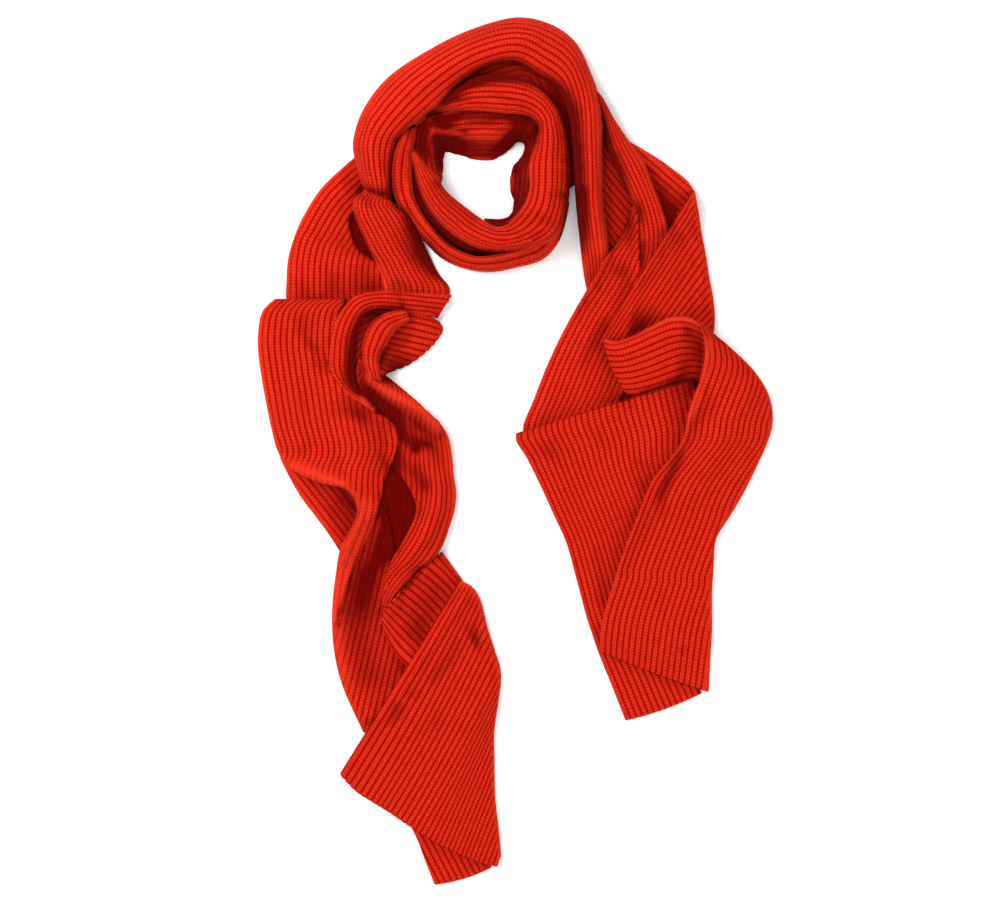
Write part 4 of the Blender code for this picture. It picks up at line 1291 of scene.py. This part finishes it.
sections = (
    (-77, 186, 2, -94, 159, 2, 0, 2),
    (-105, 188, 6, -106, 162, 4, 0, 3),
    (-135, 190, 7, -135, 166, 6, 0, 4),
    (-165, 190, 8, -163, 170, 8, 0, 4),
    (-190, 185, 10, -178, 165, 10, 0, 4),
    (-206, 171, 12, -186, 152, 10, 0, 4),
    (-217.5, 147, 13, -191, 136, 9, 0, 4),
    (-222, 118, 13, -193, 113, 8, 0, 4),
    (-220, 93, 13, -193, 88, 6, 0, 3),
    (-199, 67, 12, -187, 70, 4, 0, 2),
    (-183, 56, 11, -177, 62, 4, 0, 1),
    (-169, 47, 8, -166, 51, 4, 0, 0),
)
nap_highlight_lines = (
    (((-159, 44), (-177, 56), (-193, 68)), 7, 0.7),
)
lay_stretch(
    "left_panel_top", sections, SELVEDGE, SELVEDGE, ribs=("spread", 36.0),
    nap_highlight_lines=nap_highlight_lines,
)

# ======================================== painted shade between the folds
# Where the knit sinks between folds its red is painted darker as shade. Each point of the cloth
# keeps how much the folds on both sides of it close it in.

SHADE_REACH = (1, 2, 3, 5, 7, 10, 14, 19, 25)    # how far off folds are looked for, in cells
SHADE_TURNS = 16          # directions in which they are looked for
FOLD_DEPTH = 2.6          # how much deeper the folds count than they lie
ONE_SIDED = 0.42          # share of a fold on one side only
BOTH_SIDED = 1.6          # how much more a pair of folds counts, one on each side
SHADE_START = 0.17        # closed-in share from which the painted shade starts
SHADE_FULL = 0.56         # and at which it is deepest
SHADE_SOFTEN = (2, 1, 1)  # how far the painted shade is spread, in cells

# Painted shade added where the folds beside it give too little, or taken away with a negative share
# so that the red is painted lighter: stretch, line along it, half width, share of painted shade
SHADE_MARKS = (
    ("inner_wall", ((-89, 370), (-41, 361), (-22, 362), (4, 378)), 12, 0.75),
    ("inner_wall", ((-94, 394), (-61, 403), (-25, 400), (20, 398)), 6, 0.7),
    ("inner_wall", ((4, 340), (7, 290)), 14, 0.8),
    ("inner_wall", ((-94, 367), (-91, 340)), 5, 0.6),
    ("inner_wall", ((-34, 273), (-3, 271)), 7, 0.8),
    ("inner_band", ((-36, 269), (-22, 262)), 10, -0.9),
    ("low_turn", ((-136, 380), (-136, 340), (-130, 300), (-112, 270)), 15, -0.9),
    ("low_turn", ((-60, 226), (-10, 224), (40, 238)), 16, -0.8),
    ("loop_core", ((-34, 462), (35, 449)), 14, -0.4),
    ("tail_inner", ((104, 350), (120, 300), (130, 262)), 24, -0.55),
    ("right_return", ((132, 238), (150, 215), (130, 192), (116, 170)), 18, -0.6),
    ("right_back", ((150, 185), (190, 170)), 18, -0.5),
    ("right_cuff", ((190, 128), (212, 100)), 14, -0.45),
    ("left_valley", ((-148, 40), (-146, -30)), 12, 0.6),
    ("left_valley", ((-136, -62), (-144, -100)), 9, 0.7),
    ("left_core", ((-150, -40), (-130, -60), (-146, -104)), 22, 1.0),
    ("left_inner_turn", ((-158, -70), (-146, -90), (-152, -120)), 16, 0.8),
    ("left_core", ((-190, 150), (-196, 90)), 14, -0.5),
    ("left_valley", ((-190, 130), (-190, 90)), 12, -0.5),
    ("left_curl", ((-160, 150), (-168, 110)), 8, 0.4),
    ("left_inner_turn", ((-182, -150), (-190, -215), (-176, -268)), 20, 0.5),
    ("left_lobe", ((-160, 198), (-95, 190)), 13, -0.7),
    ("left_shoulder", ((-176, 240), (-158, 196)), 10, -0.5),
    ("right_front_end", ((184, -150), (178, -195)), 20, -0.8),
    ("left_front_end", ((-150, -250), (-110, -230)), 24, -0.4),
)

closed_in = []
for turn in np.arange(SHADE_TURNS) * 2 * np.pi / SHADE_TURNS:
    steepest = np.zeros_like(heights)
    for reach in SHADE_REACH:
        shift = (int(round(reach * np.cos(turn))), int(round(reach * np.sin(turn))))
        rise = np.roll(heights, shift, (0, 1)) - heights
        steepest = np.maximum(steepest, FOLD_DEPTH * rise / (np.hypot(*shift) * CELL))
    closed_in.append(np.sin(np.arctan(steepest)))
closed_in = np.array(closed_in)
both_sides = np.minimum(closed_in, np.roll(closed_in, SHADE_TURNS // 2, axis=0)).mean(axis=0)
hollow = (1 - ONE_SIDED) * both_sides * BOTH_SIDED + ONE_SIDED * closed_in.mean(axis=0)
for reach in SHADE_SOFTEN:
    near = sum(np.roll(hollow, step, axis) for axis in (0, 1) for step in (-reach, reach))
    hollow = (hollow + near) / 5

for piece in list(bpy.data.objects):
    if not piece.name.endswith("_knit"):
        continue
    places = np.empty(3 * len(piece.data.vertices), np.float32)
    piece.data.vertices.foreach_get("co", places)
    places = places.reshape(-1, 3) / MM
    painted_shade = between_cells(hollow, places[:, 0], places[:, 1])
    painted_shade = (painted_shade - SHADE_START) / (SHADE_FULL - SHADE_START)
    for stretch, line, half_width, share in SHADE_MARKS:
        if piece.name == stretch + "_knit":
            away = away_from(places[:, 0], places[:, 1], line)[0]
            painted_shade = np.clip(painted_shade, 0, 1) + share * np.exp(-((away / half_width) ** 2))
    painted_shade = np.clip(painted_shade, 0, 1)
    kept = piece.data.attributes.new("HollowShade", "FLOAT", "POINT")
    kept.data.foreach_set("value", painted_shade.astype(np.float32))
